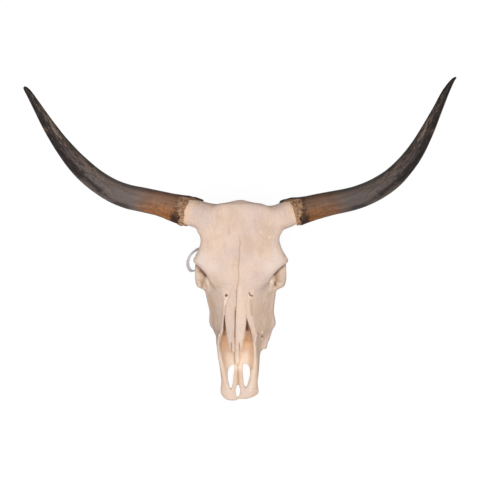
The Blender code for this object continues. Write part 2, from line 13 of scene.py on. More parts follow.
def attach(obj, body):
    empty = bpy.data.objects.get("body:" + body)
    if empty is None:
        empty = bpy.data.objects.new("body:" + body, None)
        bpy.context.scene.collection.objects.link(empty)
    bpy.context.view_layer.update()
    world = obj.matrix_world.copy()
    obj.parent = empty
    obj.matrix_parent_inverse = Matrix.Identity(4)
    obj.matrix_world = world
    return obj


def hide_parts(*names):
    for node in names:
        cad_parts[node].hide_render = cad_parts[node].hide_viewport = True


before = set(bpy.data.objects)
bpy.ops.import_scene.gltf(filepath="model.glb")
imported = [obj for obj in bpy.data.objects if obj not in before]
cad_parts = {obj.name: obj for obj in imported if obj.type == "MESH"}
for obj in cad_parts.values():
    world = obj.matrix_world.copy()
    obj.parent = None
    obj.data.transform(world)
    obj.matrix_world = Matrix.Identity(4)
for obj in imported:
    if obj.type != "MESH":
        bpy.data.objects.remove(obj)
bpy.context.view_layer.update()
MM = 0.001

# ---- Forehead and poll ----
# The broad bone over brain and eyes.  The steer grew its bones together into one skull, so they are shaped
# here as one mass, drawn out ring by ring like clay, and parted along their sutures further down.
X, Y, Z = 0, 1, 2
masses = []


def pick(*things):
    """Selects these things and nothing else, with the first of them active."""
    bpy.ops.object.select_all(action="DESELECT")
    for thing in reversed(things):
        thing.select_set(True)
        bpy.context.view_layer.objects.active = thing


@contextmanager
def in_edit_mode():
    """Edit mode on the active thing, with all of it selected."""
    bpy.ops.object.mode_set(mode="EDIT")
    bpy.ops.mesh.select_all(action="SELECT")
    yield
    bpy.ops.object.mode_set(mode="OBJECT")


def face_outwards():
    bpy.ops.mesh.select_all(action="SELECT")
    bpy.ops.mesh.normals_make_consistent(inside=False)


def eased(rows, steps):
    """The rows with others between them, on a smooth curve through them."""
    padded = [rows[0], *rows, rows[-1]]
    made = []
    for p, q, r, s in zip(padded, padded[1:], padded[2:], padded[3:]):
        for step in range(steps):
            t = step / steps
            made.append(tuple(
                0.5 * (2 * b + (c - a) * t + (2 * a - 5 * b + 4 * c - d) * t * t
                       + (3 * b - a - 3 * c + d) * t ** 3)
                for a, b, c, d in zip(p, q, r, s)
            ))
    return [*made, rows[-1]]


def drawn_through(name, outlines):
    """A solid drawn out from its first outline through the others, each of as many points, in millimetres."""
    pick()
    bpy.ops.mesh.primitive_circle_add(vertices=len(outlines[0]), radius=1, fill_type="NGON")
    made = bpy.context.object
    made.name = name
    for vert, point in zip(made.data.vertices, outlines[0]):
        vert.co = Vector(point) * MM
    with in_edit_mode():
        shape = bmesh.from_edit_mesh(made.data)
        order = {tuple(vert.co): index for index, vert in enumerate(shape.verts)}
        for ring in outlines[1:]:
            bpy.ops.mesh.extrude_region_move()
            shape = bmesh.from_edit_mesh(made.data)
            placed = {}
            for vert in [vert for vert in shape.verts if vert.select]:
                index = order[tuple(vert.co)]
                vert.co = Vector(ring[index]) * MM
                placed[tuple(vert.co)] = index
            order = placed
        face_outwards()
    return made


def squared(turn, power):
    """A sine or cosine pushed out towards a box, the more so the lower the power."""
    return math.copysign(abs(turn) ** power, turn)


def rounded(along, row, squareness, sides):
    """An outline across an axis, between an ellipse (2) and a box: row is place, middle and half sizes."""
    place, middle, other_middle, half, other_half = row
    points = []
    for step in range(sides):
        angle = 2 * math.pi * (step + 0.5) / sides
        point = [
            middle + squared(math.cos(angle), 2 / squareness) * half,
            other_middle + squared(math.sin(angle), 2 / squareness) * other_half,
        ]
        point.insert(along, place)
        points.append(point)
    return points


def mass(along, rows, squareness=2.4, sides=28, steps=3):
    made = drawn_through("mass", [rounded(along, row, squareness, sides) for row in eased(rows, steps)])
    masses.append(made)
    return made


def applied(thing):
    pick(thing)
    for modifier in list(thing.modifiers):
        bpy.ops.object.modifier_apply(modifier=modifier.name)


def mirrored(thing):
    """The thing with its like on the skull's other side."""
    thing.modifiers.new("Mirror", "MIRROR").use_mirror_merge = False
    applied(thing)
    return thing


mass(Y, [  # y, x, z of the middle, half width, half height
    (100, 0, 214, 7, 7), (97, 0, 213, 19, 12), (93, 0, 212, 37, 17), (89, 0, 212, 60, 21),
    (77, 0, 211, 84, 24), (60, 0, 209, 97, 26), (35, 0, 207, 107, 26), (22, 0, 206, 107, 26),
    (12, 0, 204, 101, 26), (-1, 0, 202, 98.5, 25), (-14, 0, 198, 101.5, 25), (-28, 0, 191, 107, 27),
    (-42, 0, 183, 115, 29), (-51, 0, 178, 119.5, 30), (-58, 0, 176, 116, 30), (-70, 0, 173, 101, 30),
    (-84, 0, 169, 87, 30), (-97, 0, 165, 80, 29), (-112, 0, 157, 70, 29), (-126, 0, 150, 54, 27),
    (-143, 0, 142, 36, 26), (-165, 0, 132, 22, 22),
], squareness=2.7, sides=44)
NECK_LEFT = [  # x, y, z, half y, half z of the bone core that carries the left horn
    (-50, 54, 198, 35, 33), (-80, 56, 196.5, 37, 34.5), (-100, 62, 194, 37.5, 35),
    (-118, 69, 190, 36.5, 34), (-134, 72, 187.5, 35, 32), (-150, 75, 187, 30, 28),
]
NECK_RIGHT = [
    (50, 51, 198, 34, 33), (80, 52, 196.5, 34.5, 34.5), (100, 57.5, 194, 35.5, 35), (118, 65, 190, 36, 34),
    (134, 69, 187.5, 33.5, 31.5), (150, 72.5, 187, 29, 28),
]
mass(X, NECK_LEFT)
mass(X, NECK_RIGHT)

# ---- Braincase, nape and the skull's underside ----
# The bones round the brain and ears, the two knobs of the neck joint and the processes beside them, on whose
# tips the skull rests behind.  Under the braincase hang the thin wing plates with their hooks.
mass(Y, [
    (80, 0, 136, 46, 50), (62, 0, 138, 53, 60), (25, 0, 140, 52, 64), (-15, 0, 140, 47, 60),
    (-55, 0, 136, 42, 56), (-95, 0, 130, 48, 54), (-125, 0, 124, 58, 50),
])
mass(Y, [(46, 0, 116, 60, 48), (62, 0, 120, 78, 58), (76, 0, 122, 76, 60), (85, 0, 126, 60, 54)], 2.6)
mass(Y, [
    (80, 0, 60, 15, 16), (50, 0, 60, 20, 18), (20, 0, 66, 18, 19), (-20, 0, 74, 16, 19), (-60, 0, 82, 15, 20),
])
mirrored(mass(Z, [  # the process beside the neck joint: z, x, y, half x, half y
    (92, 58, 62, 15, 13), (60, 55, 60, 11, 12), (30, 51, 54, 7.5, 10), (10, 48, 50, 6, 8.5),
    (-4, 47, 48, 5, 8),
], 2.2))
mirrored(mass(Y, [
    (-64, 20, 66, 4, 20), (-90, 22, 62, 4.5, 26), (-118, 25, 58, 5, 24), (-150, 30, 52, 8, 16),
]))
mirrored(mass(Z, [(70, 22, -72, 4, 8), (48, 23, -68, 3.5, 6), (32, 25, -62, 3, 4)], steps=2))


def ball(place, half_sizes, turn=0):
    pick()
    bpy.ops.mesh.primitive_uv_sphere_add(
        segments=36, ring_count=24, radius=MM, location=Vector(place) * MM,
        rotation=(0, 0, math.radians(turn)), scale=half_sizes,
    )
    bpy.ops.object.transform_apply(location=True, rotation=True, scale=True)
    return bpy.context.object


for place, half_sizes, turn in (
    ((27, 72, 56), (19, 17, 24), 20),  # neck joint
    ((20, 58, 46), (13, 20, 14), 0),
    ((38, 34, 60), (12, 18, 22), 0),  # ear capsule
    ((66, 40, 96), (13, 13, 12), 0),  # ear opening
    ((68, 6, 96), (22, 13, 9), 0),  # jaw joint
    ((12, 34, 48), (8, 10, 9), 0),  # knob under the base
    ((88, -92, 106), (20, 26, 13), 0),  # floor of the eye socket
):
    masses.append(mirrored(ball(place, half_sizes, turn)))

# ---- Cheeks and eye bars ----
# The crest along each cheek, the arch behind it to the ear, and the upright bar that closes the eye socket
# at its back.
mirrored(mass(Y, [
    (-44, 102, 112, 9, 10), (-56, 103, 110, 11, 14), (-75, 100, 106, 15, 17), (-98, 98, 103, 17, 19),
    (-114, 94, 101, 17.5, 19), (-120, 90, 100, 16, 18.5), (-127, 80, 98, 11, 17.5), (-150, 74, 88, 12, 16),
    (-180, 70, 77, 11, 14), (-206, 72.5, 66, 11.5, 13), (-220, 69, 62, 11, 11), (-236, 58, 60, 7, 9),
]))
mirrored(mass(Y, [
    (34, 66, 104, 10, 9), (18, 76, 103, 10, 9), (0, 86, 105, 8, 8), (-20, 93, 108, 6.5, 8),
    (-40, 100, 111, 6.5, 9), (-56, 104, 112, 7, 10),
]))
mirrored(mass(Z, [
    (180, 104, -44, 9, 9), (158, 107, -46, 6.5, 8), (138, 106, -47, 6, 8), (114, 104, -48, 7.5, 9),
], 2.2))

# ---- Upper jaw and muzzle ----
# The upper jaw stands like a tent over the palate.  In front two slim bars run down from beside the nose to
# the toothless tip, with a flat plate between them.
FACE = [  # y, top, half width of the ridge, of the cheek, its height, half width at the gum, base height
    (-90, 190, 52, 70, 130, 50, 60), (-118, 180, 44, 86, 112, 56, 46), (-136, 173, 38, 86, 98, 60, 36),
    (-152, 167, 34, 83.5, 90, 62, 32), (-178, 156, 34, 78.5, 78, 64, 30),
    (-204, 144, 38, 81.5, 66, 65, 30), (-226, 132, 43, 74, 62, 64, 30), (-246, 119, 47, 61, 60, 60, 30),
    (-268, 107, 47.5, 55, 58, 55, 32), (-292, 95, 46.5, 51, 56, 49, 36), (-316, 79, 43, 49, 52, 46, 36),
    (-340, 64, 39, 46, 48, 43, 36), (-364, 50, 33, 43, 42, 41, 35),
]
tents = []
for y, top, ridge, cheek, cheek_z, gum, base in eased(FACE, 3):
    half = [
        (ridge * 0.45, top), (ridge, top - 4), (0.45 * ridge + 0.55 * cheek + 3, 0.48 * top + 0.52 * cheek_z),
        (cheek, cheek_z + 5), (cheek - 2, cheek_z - 8), (gum, base + 4), (gum - 8, base),
        (gum * 0.4, base + 4),
    ]
    tents.append([(x, y, z) for x, z in half] + [(-x, y, z) for x, z in reversed(half)])
masses.append(drawn_through("face", tents))
mass(Y, [
    (-120, 0, 52, 40, 9), (-180, 0, 46, 46, 7), (-240, 0, 43, 46, 7), (-300, 0, 43, 44, 7),
    (-330, 0, 42, 42, 7), (-356, 0, 41, 40, 6.5), (-368, 0, 40, 41, 5.5), (-380, 0, 39, 34, 2.5),
], 3.4)
mirrored(mass(Y, [
    (-236, 46, 88, 7, 40), (-262, 46, 76, 6.5, 38), (-290, 45.5, 66, 6, 32), (-316, 43, 56, 7, 23),
    (-340, 39, 49, 9, 16), (-360, 34, 45, 12, 12), (-376, 30, 43, 16, 9),
]))
mass(Y, [  # left lobe of the tip
    (-362, -25, 41, 21.5, 8), (-374, -25.8, 40, 22.2, 8.5), (-386, -26, 39, 22.5, 8.5),
    (-395, -24, 38.5, 20.5, 7.5), (-402, -20.5, 38, 16.5, 5.5), (-407, -17, 38, 10, 3),
], 2.6)
mass(Y, [
    (-362, 21, 41, 25.5, 8), (-374, 21.8, 40, 26.2, 8.5), (-386, 22.5, 39, 27, 8.5),
    (-392, 20.3, 38.5, 24.7, 7.5), (-398, 14.5, 38, 19, 6), (-403, 8.3, 38, 12.7, 3.5),
], 2.6)

# ---- Gums of the cheek teeth ----
# Each row holds three small teeth and three large ones in a swelling of the jaw, a little further to the
# right in front, as the whole face is.
TEETH = [(17, 7.5), (19, 9), (20, 10), (25, 11.5), (28, 12.5), (29, 12)]  # length along the row, half width
TOOTH_ROW_Y = [-275, -235, -230, -200, -180, -136]
TOOTH_ROW_X = [51.5, 54.6, 55, 55, 55, 50]
TOOTH_ROW_SHIFT = [7.5, 7.5, 7, 4, 4, 4]
tooth_places = []
for side in (1, -1):
    front = TOOTH_ROW_Y[0]
    for length, half_width in TEETH:
        y, half = front + length / 2, length / 2
        x = side * np.interp(y, TOOTH_ROW_Y, TOOTH_ROW_X) + np.interp(y, TOOTH_ROW_Y, TOOTH_ROW_SHIFT)
        tooth_places.append((side, x, y, half_width, half))
        mass(Z, [
            (19, x, y, half_width + 0.4, half - 0.2), (24, x, y, half_width + 3, half + 1),
            (46, x - 2 * side, y, half_width + 5, half + 2), (56, x - 4 * side, y, half_width, half),
        ], squareness=3, steps=2)
        front += length
    gums = [(-276, side * 51.5 + 7.5, 52, 9, 11)]
    for _, x, y, half_width, _ in tooth_places[-len(TEETH):]:
        gums.append((y, x - 3 * side, 52, half_width + 6, 14))
    mass(Y, gums, 2.6)

# ---- The bones as one grown mass ----
# All masses fused to one skin of small faces, and its openings cut: nose, throat, the slots of the palate and
# beside the left nasal bone, the hole for the spinal cord, and the eye sockets with their front walls.
GRAIN = 1.7 * MM
NOSE = [  # y, x, z, half width, half height
    (-396, 0, 70, 6, 20), (-372, 0, 72, 20, 24), (-352, 0, 78, 28, 29), (-330, 0, 86, 34.5, 37),
    (-316, 0, 96, 38, 47), (-282, 0, 112, 41.5, 62), (-250, -1, 122, 39, 70), (-226, -2.5, 132, 33, 76),
    (-204, -3, 136, 27, 74), (-186, -3, 132, 23, 66), (-176, -2, 110, 20, 38), (-162, 0, 104, 12, 22),
]
PALATE_SLOTS = [  # y, x, half width
    [
        (-363, -3.8, 1), (-371, -4, 3.7), (-380, -4.3, 5.8), (-388, -4.3, 4.6), (-395, -4.3, 2.6),
        (-399, -4.3, 0.8),
    ], [
        (-314, -16.5, 1.5), (-321, -19.5, 6), (-331, -22, 8.5), (-341, -23, 7.5), (-351, -23, 6.8),
        (-361, -22, 5.5), (-371, -22, 3.4), (-379, -22, 1),
    ], [
        (-312, 10.5, 1.5), (-317, 14.5, 7), (-324, 17, 9.5), (-341, 17, 9.3), (-351, 17, 7.4),
        (-361, 16.2, 5.6), (-369, 16, 3.4), (-376, 16, 1),
    ],
]
EYE_SOCKET = [  # x, y, z, half length, half height
    (140, -92, 146, 38, 36), (112, -89, 146, 34.5, 33), (96, -85, 145, 33, 31), (78, -78, 144, 27, 27),
    (62, -68, 142, 18, 19), (50, -60, 140, 9, 10),
]


def fused(thing, passes, grain=GRAIN):
    remesh = thing.modifiers.new("Fuse", "REMESH")
    remesh.mode = "VOXEL"
    remesh.voxel_size = grain
    thing.modifiers.new("Soften", "SMOOTH").iterations = passes
    applied(thing)
    largest_shell(thing)


def largest_shell(thing):
    """Drops the crumbs and closed pockets: all but the largest connected skin."""
    pick(thing)
    with in_edit_mode():
        bpy.ops.mesh.separate(type="LOOSE")
    shells = sorted(bpy.context.selected_objects, key=lambda shell: len(shell.data.vertices))
    kept = shells[-1].data
    if shells[-1] is not thing:
        shells[-1].data, thing.data = thing.data, kept
    for shell in bpy.context.selected_objects:
        if shell is not thing:
            bpy.data.objects.remove(shell, do_unlink=True)


def joined(things, name):
    pick(*things)
    bpy.ops.object.join()
    things[0].name = name
    return things[0]


def cut(thing, cutter, operation="DIFFERENCE"):
    """Cuts a thing with a cutter, which is used up."""
    boolean = thing.modifiers.new("Cut", "BOOLEAN")
    boolean.operation = operation
    boolean.solver = "MANIFOLD"
    boolean.object = cutter
    applied(thing)
    bpy.data.objects.remove(cutter, do_unlink=True)


def slot_through(rows, low, high):
    """An upright slot: rows are y, x and the half width."""
    return drawn_through("slot", [
        [(x - half, y, low), (x + half, y, low), (x + half, y, high), (x - half, y, high)]
        for y, x, half in rows
    ])


skull = joined(masses, "skull")
fused(skull, 9)
for opening in (
    mass(Y, NOSE, 2.6),
    mass(Y, [
        (-50, 0, 62, 12, 12), (-80, 0, 58, 16, 20), (-118, 0, 58, 19, 22), (-140, 0, 56, 15, 14),
        (-152, 0, 55, 8, 6),
    ]),
    *[slot_through(eased(rows, 3), 20, 80) for rows in PALATE_SLOTS],
    slot_through([
        (-184, -31.6, 0.6), (-192, -32.4, 1.8), (-200, -33.4, 2.4), (-218, -35.7, 2.7), (-232, -37, 1.8),
        (-244, -38, 0.6),
    ], 92, 200),
    ball((0, 92, 70), (17, 34, 15)),
    mirrored(mass(X, EYE_SOCKET, 2.2)),
):
    cut(skull, opening)
cut(skull, mirrored(ball((76, -101, 123), (15, 17, 26))), "UNION")  # front walls of the eye sockets
fused(skull, 6)

# ---- Where the masses run into each other ----
# The forehead runs out into the horn cores without a step, the palate slopes gently to the muzzle, and the
# swelling of the tooth row fades into the cheek.


def vectors(elements, kind):
    """The vectors of a mesh's vertices or normals, one to a row."""
    values = np.empty(len(elements) * 3, np.float32)
    elements.foreach_get(kind, values)
    return values.reshape(-1, 3).astype(float)


def spots_of(thing):
    return vectors(thing.data.vertices, "co") / MM


def normals_of(thing):
    return vectors(thing.data.vertex_normals, "vector")


def moved(thing, spots):
    thing.data.vertices.foreach_set("co", (spots * MM).astype(np.float32).ravel())
    thing.data.update()


def evened(thing, values, passes):
    """Columns of values, one row for each vertex, spread over their neighbours again and again."""
    ends = np.empty(len(thing.data.edges) * 2, np.int32)
    thing.data.edges.foreach_get("vertices", ends)
    first, second = ends.reshape(-1, 2).T
    count = len(values)
    linked = np.bincount(ends, minlength=count).clip(1)
    columns = list(values.T)
    for _ in range(passes):
        columns = [
            0.5 * column + 0.5 / linked * (
                np.bincount(first, column[second], count) + np.bincount(second, column[first], count)
            )
            for column in columns
        ]
    return np.stack(columns, 1)


def capped(values):
    return np.clip(values, 0, 1)


def within(value, low, high, edge):
    """1 between low and high, fading to 0 over the edge outside them."""
    return capped((value - low) / edge + 1) * capped((high - value) / edge + 1)


def filled(thing, passes, *places):
    """Hollow skin rises to the evened one in some places, each low and high in x from the middle, y and z."""
    spots, normals = spots_of(thing), normals_of(thing)
    x, y, z = spots.T
    out = np.maximum(((evened(thing, spots, passes) - spots) * normals).sum(1), 0)
    amount = np.maximum.reduce([
        within(np.abs(x), *x_range, 10) * within(y, *y_range, 10) * within(z, *z_range, 8)
        for x_range, y_range, z_range in places
    ])
    moved(thing, spots + (amount * out)[:, None] * normals)


shoulders = ((44, 104), (-4, 112), (160, 250))
brow_hollows = ((24, 72), (-172, -100), (108, 190))
nose_floor = ((0, 44), (-352, -262), (30, 76))
cheek_hollows = ((40, 90), (-285, -150), (26, 92))
tip = ((0, 52), (-398, -346), (26, 60))
filled(skull, 260, shoulders, brow_hollows)
filled(skull, 180, shoulders, brow_hollows, nose_floor, cheek_hollows)
filled(skull, 90, shoulders, brow_hollows, nose_floor, cheek_hollows, tip)

# ---- The set of the face ----
# The face of this skull turns a little to its left, the more so the higher it stands.  The two processes that
# carry the skull behind are worn flat where they stand.
SIDE_SHIFTS = [(10, -40, -1.6), (-225, -262, 8.5), (-330, -365, 0.4)]  # between these y, so much to the left
NASAL_SHIFTS = [(10, -40, -1.6), (-90, -130, 3.4), (-130, -262, 5.1)]
LEAN = 0.15  # to the left for each millimetre of height
UNLEANED_Z = 95


def lean(thing, side_shifts=SIDE_SHIFTS):
    spots = spots_of(thing)
    y, z = spots[:, 1], np.maximum(spots[:, 2], 55)
    reach = capped((-50 - y) / 150)
    shift = -reach * reach * (3 - 2 * reach) * LEAN * (z - UNLEANED_Z)
    for start, end, amount in side_shifts:
        shift -= amount * capped((start - y) / (start - end))
    spots[:, 0] += shift
    moved(thing, spots)


lean(skull)
pick()
bpy.ops.mesh.primitive_cube_add(size=2, location=(0, 0, -1))
bpy.ops.object.transform_apply(location=True)
cut(skull, bpy.context.object)

# ---- Surface of the bone ----
# Dry bone is never quite smooth: long shallow swells, fine furrows along the face, pores at the poll and the
# horn cores.  Holes for nerves open before the eyes, and a crack runs down the middle of the forehead.
CRACK = [(-1, 12), (0.5, -10), (-2, -30), (-1, -50), (-4, -72), (-3, -92), (-7, -118)]
NERVE_HOLE_LEFT = (-34.5, -139)
NERVE_HOLE_RIGHT = [(23.5, -133), (26, -139), (31, -140.5)]
NERVE_FURROWS = [[NERVE_HOLE_LEFT, (-33, -160), (-35, -190)], [(27, -140), (28, -165), (31, -190)]]
KNOBS = [(57, -233.5), (57, -250)]
KNOB_PIT = (57, -243)


def grained(spots, size, seed, octaves=3):
    """Seeded noise from about -1 to 1 at each spot; size is its grain in millimetres, or along x, y and z."""
    scaled = spots / size + seed * 17.3
    return np.array([noise.fractal(Vector(spot), 1.0, 2.0, octaves) for spot in scaled.tolist()])


def bump(distance, width):
    """1 in the middle of a feature, 0 from its width outwards."""
    return capped(1 - distance / width) ** 2 * (1 + 2 * capped(distance / width))


def near(spots, place):
    """The distance seen from above between each spot and one (x, y) point."""
    return np.hypot(*(spots[:, :2] - place).T)


def near_line(spots, line):
    """The distance seen from above between each spot and a line of (x, y) points."""
    best = np.full(len(spots), 1e9)
    for start, end in zip(np.array(line, float), np.array(line[1:], float)):
        run = end - start
        along = capped(((spots[:, :2] - start) @ run) / (run @ run))
        best = np.minimum(best, near(spots, start + along[:, None] * run))
    return best


def tree_of(spots):
    """A tree that finds the nearest of the spots."""
    tree = KDTree(len(spots))
    for index, spot in enumerate(spots.tolist()):
        tree.insert(spot, index)
    tree.balance()
    return tree


spots, normals = spots_of(skull), normals_of(skull)
x, y, z = spots.T
seen = capped(normals[:, 2])  # faces up
rise = 0.7 * grained(spots, 28, 1) + 0.22 * grained(spots, 7, 2)
face_furrows = capped((-100 - y) / 60) * (1 - 0.6 * capped((-330 - y) / 40))
rise += 0.3 * face_furrows * grained(spots, (3.2, 34, 3.2), 5, 2)
pores = capped(np.maximum(np.abs(x) - 92, y - 78) / 22)
rise -= 0.75 * pores * capped(grained(spots, 4.2, 7, 2) - 0.12) * 2
wander = 1.4 * grained(spots * (0, 1, 0), 14, 3, 2)
crack_gap = near_line(spots + wander[:, None] * (1, 0, 0), CRACK)
crack = bump(crack_gap, 2.4) * seen * (z > 120) * np.clip((16 - y) / 22, 0.3, 1)
hole_left = bump(near(spots, NERVE_HOLE_LEFT), 5.2) * (z > 110) * (seen > 0.2)
hole_right = bump(near_line(spots, NERVE_HOLE_RIGHT), 2.8) * (z > 110) * (seen > 0.2)
knob = sum(bump(near(spots, place), 5) for place in KNOBS) * (seen > 0.05)
pit = bump(near(spots, KNOB_PIT), 4) * (seen > 0.05)
rise += 2.6 * knob - 3.2 * pit - 0.32 * crack
socket_wall = within(np.abs(x), 70, 88, 6) * within(y, -128, -90, 8) * within(z, 104, 158, 8)
rise += 1.1 * socket_wall * grained(spots, 5, 41, 2)
rise -= 0.8 * sum(bump(near_line(spots, line), 5) * seen * (z > 100) for line in NERVE_FURROWS)
sink = 7 * hole_left + 5 * hole_right
moved(skull, spots + normals * rise[:, None] - np.array([0, 0, 1]) * sink[:, None])
warm_places = 1.1 * crack
# Painted shade: brown in the nerve holes and the knob's pit; the faint dark line along the crack is its own
# colour.
hole_shade_and_crack = np.maximum.reduce([0.16 * crack, hole_left, 0.75 * hole_right, 0.8 * pit])

# How hollow the surface is at each point, at a fine and a wide scale; the finish darkens hollows and creases
# by it and pales convex rims.
spots, normals = spots_of(skull), normals_of(skull)
fine = evened(skull, spots, 8)
wide = evened(skull, fine, 60)
hollow_fine = ((fine - spots) * normals).sum(1)
hollow_wide = ((wide - spots) * normals).sum(1)
skull_tree = tree_of(spots)

# ---- Nasal bones and vomer ----
# Two long, slightly arched bones roof the nose, each forked at its free tip; the vomer is the thin keel
# that stands in the middle of the nose.  They are seated in the skull with a hairline gap.
SUTURE_GAP = 0.1 * MM
SIDES = ((1, "right"), (-1, "left"))


def copied(thing, name):
    copy = thing.copy()
    copy.data = thing.data.copy()
    copy.name = name
    bpy.context.scene.collection.objects.link(copy)
    return copy


def grown(thing):
    """A copy of a thing that is larger all round by the gap of a suture."""
    copy = copied(thing, "grown")
    displace = copy.modifiers.new("Grow", "DISPLACE")
    displace.strength = SUTURE_GAP
    displace.mid_level = 0
    applied(copy)
    return copy


def seated(name, rows, squareness, passes, grain):
    """A bone of its own, finely shaped."""
    bone = mass(Y, rows, squareness, sides=32)
    bone.name = name
    fused(bone, passes, grain)
    return bone


pieces = {}
for side, word in SIDES:
    nasal = seated(f"nasal_bone_{word}", [
        (-106, side * 2.9, 183.5, 2.7, 3), (-118, side * 7, 178.5, 6.8, 5.5),
        (-138, side * 10.7, 167.8, 10.5, 6), (-165, side * 14, 157, 13.8, 6),
        (-192, side * 14.6, 147.8, 14.4, 6), (-218, side * 13.4, 140, 13.2, 6),
        (-242, side * 11.7, 134, 11.5, 5.5), (-262, side * 10.3, 127.5, 10.1, 5),
        (-274, side * 8.9, 124, 8.7, 4), (-281, side * 7.6, 122.5, 5.9, 2.5),
    ], 2.6, 3, 1.0 * MM)
    notch = [(-257, side * 10.5, 0.6), (-265, side * 10.6, 2), (-285, side * 11, 3)]
    cut(nasal, slot_through(notch, 90, 150))
    if side < 0:  # the left one is a little narrower
        moved(nasal, spots_of(nasal) * (0.9, 1, 1))
    lean(nasal, NASAL_SHIFTS)
    pieces[f"nasal_{word}"] = nasal
vomer = seated("vomer_bone", [
    (-318, -5.6, 48, 4.5, 4), (-313, -5.6, 49.5, 6.4, 6.5), (-298, -5.2, 53, 6.8, 10),
    (-270, -3.8, 60, 6.2, 16), (-220, 0, 66, 5, 24),
], 2.4, 0, 1.3 * MM)
lean(vomer)
pieces["vomer"] = vomer
for bone in pieces.values():
    cut(skull, grown(bone))
largest_shell(skull)
for word in ("left", "right"):
    nasal = pieces[f"nasal_{word}"]
    spots, normals = spots_of(nasal), normals_of(nasal)
    rise = 0.28 * grained(spots, (3, 30, 3), 9, 2) + 0.35 * grained(spots, 14, 4, 2)
    moved(nasal, spots + normals * np.minimum(rise, 0.12)[:, None])

# ---- Sutures ----
# The bones meet in fine interlocking seams.  Each seam is a wavy sheet, and the skull is parted by the block
# that lies beyond it.
SHEET_SIZE = 0.46
SHEET_CELLS = 190
BLOCK_DEPTH = 0.6


def beyond(point, normal, seed, bend=None):
    """The block beyond a wavy sheet through a point; bend moves the sheet along its normal."""
    pick()
    bpy.ops.mesh.primitive_grid_add(x_subdivisions=SHEET_CELLS, y_subdivisions=SHEET_CELLS, size=SHEET_SIZE)
    sheet = bpy.context.object
    normal = Vector(normal).normalized()
    turn = normal.to_track_quat("Z", "Y").to_matrix().to_4x4()
    sheet.data.transform(Matrix.Translation(Vector(point) * MM) @ turn)
    spots = spots_of(sheet)
    wave = 2.6 * grained(spots, 34, seed, 1) + 1.1 * grained(spots, 6.5, seed + 5, 1)
    wave += bend(spots) if bend else 0
    moved(sheet, spots + np.array(normal) * (wave + SUTURE_GAP / MM / 2)[:, None])
    with in_edit_mode():
        bpy.ops.mesh.extrude_region_move(TRANSFORM_OT_translate={"value": normal * BLOCK_DEPTH})
        face_outwards()
    return sheet


def taken(thing, name, block):
    """Takes what a block holds off a thing, as a piece of its own name."""
    piece = copied(thing, name)
    cut(thing, grown(block))
    cut(piece, block, "INTERSECT")
    return piece


def parted(thing, name, *seam):
    """Takes the part beyond a seam off a thing."""
    return taken(thing, name, beyond(*seam))


def brow_line(spots):
    """The forehead bone reaches forward beside the nasal bones and draws back towards the eye sockets."""
    across = np.abs(spots[:, 0] + 3)
    return 9 * capped((across - 40) / 32) - 7 * np.exp(-((across - 27) / 9) ** 2)


# ---- Forehead bone ----
# It covers brain and eyes and carries the cores of both horns; it is the largest piece of the skull.
rear = parted(skull, "rear", (0, -118, 110), (0, 1, 0), 11, brow_line)
front = skull
pieces["frontal"] = parted(rear, "frontal_bone", (0, 0, 142), (0, -0.04, 1), 12)

# ---- Back of the skull, braincase, temporal bones and cheekbones ----
# The bones round the brain and the ear, and the cheekbone with the arch that joins it to the temple.
pieces["occipital"] = parted(rear, "occipital_bone", (0, 45, 80), (0, 1, 0), 13)
for side, word in SIDES:
    outer = parted(rear, "outer", (side * 60, -30, 80), (side, 0, 0), 14)
    pieces[f"temporal_{word}"] = parted(outer, f"temporal_bone_{word}", (side * 80, -28, 100), (0, 1, 0), 15)
    outer.name = f"cheekbone_{word}"
    pieces[f"zygomatic_{word}"] = outer
rear.name = "braincase_bone"
pieces["braincase"] = rear

# ---- Tear bones, upper jaws and muzzle bones ----
# The tear bone is a plate in front of each eye socket; the upper jaw carries the cheek teeth, and the muzzle
# bones run from beside the nose to the tip.
PLATE = (0.122, 0.06, 0.126, 1)  # the size of the block that holds a tear bone, in metres
for side, word in SIDES:
    pick()
    bpy.ops.mesh.primitive_cube_add(size=1)
    plate = bpy.context.object
    with in_edit_mode():
        bpy.ops.mesh.subdivide(number_cuts=30)
    plate.data.transform(Matrix.Translation(Vector((side * 81, -120, 177)) * MM) @ Matrix.Diagonal(PLATE))
    spots = spots_of(plate)
    sway = [grained(spots, 24, seed, 2) + 0.6 * grained(spots, 6, seed, 1) for seed in (21, 22, 23)]
    moved(plate, spots + 1.6 * np.stack(sway, 1))
    pieces[f"lacrimal_{word}"] = taken(front, f"tear_bone_{word}", plate)
muzzle = parted(front, "muzzle", (0, -262, 84), (0, -0.62, 0.78), 16)
for whole, word, point, normal in (
    (muzzle, "premaxilla", (-4.8, -280, 80), (1, 0, 0)), (front, "maxilla", (2, -200, 95), (1, 0, 0.15)),
):
    pieces[f"{word}_right"] = parted(whole, f"{word}_bone_right", point, normal, 17)
    whole.name = f"{word}_bone_left"
    pieces[f"{word}_left"] = whole
for piece in pieces.values():
    largest_shell(piece)

# ---- Finish of the bone ----
# Sun-bleached, dry bone: cream with faint grey, lilac and ochre clouds, milky over the eyes, paler along worn
# rims, tan in its hollows and peach inside the nose and the eye sockets. Painted shade greys the sides that
# turn away and browns the bone under rims, in holes and in openings; the peach and the palate are painted
# lighter as painted light.


class Shade:
    """A value on its way through a material's nodes, so that its maths reads as plain sums."""

    def __init__(self, finish, socket):
        self.finish = finish
        self.socket = socket

    def _sum(self, operation, first, second):
        return self.finish.node("Math", {"operation": operation}, {0: first, 1: second})

    def __add__(self, other):
        return self._sum("ADD", self, other)

    def __radd__(self, other):
        return self._sum("ADD", other, self)

    def __sub__(self, other):
        return self._sum("SUBTRACT", self, other)

    def __rsub__(self, other):
        return self._sum("SUBTRACT", other, self)

    def __mul__(self, other):
        return self._sum("MULTIPLY", self, other)

    def kept(self):
        """The value held between 0 and 1."""
        return self.finish.node("Clamp", {}, {0: self})


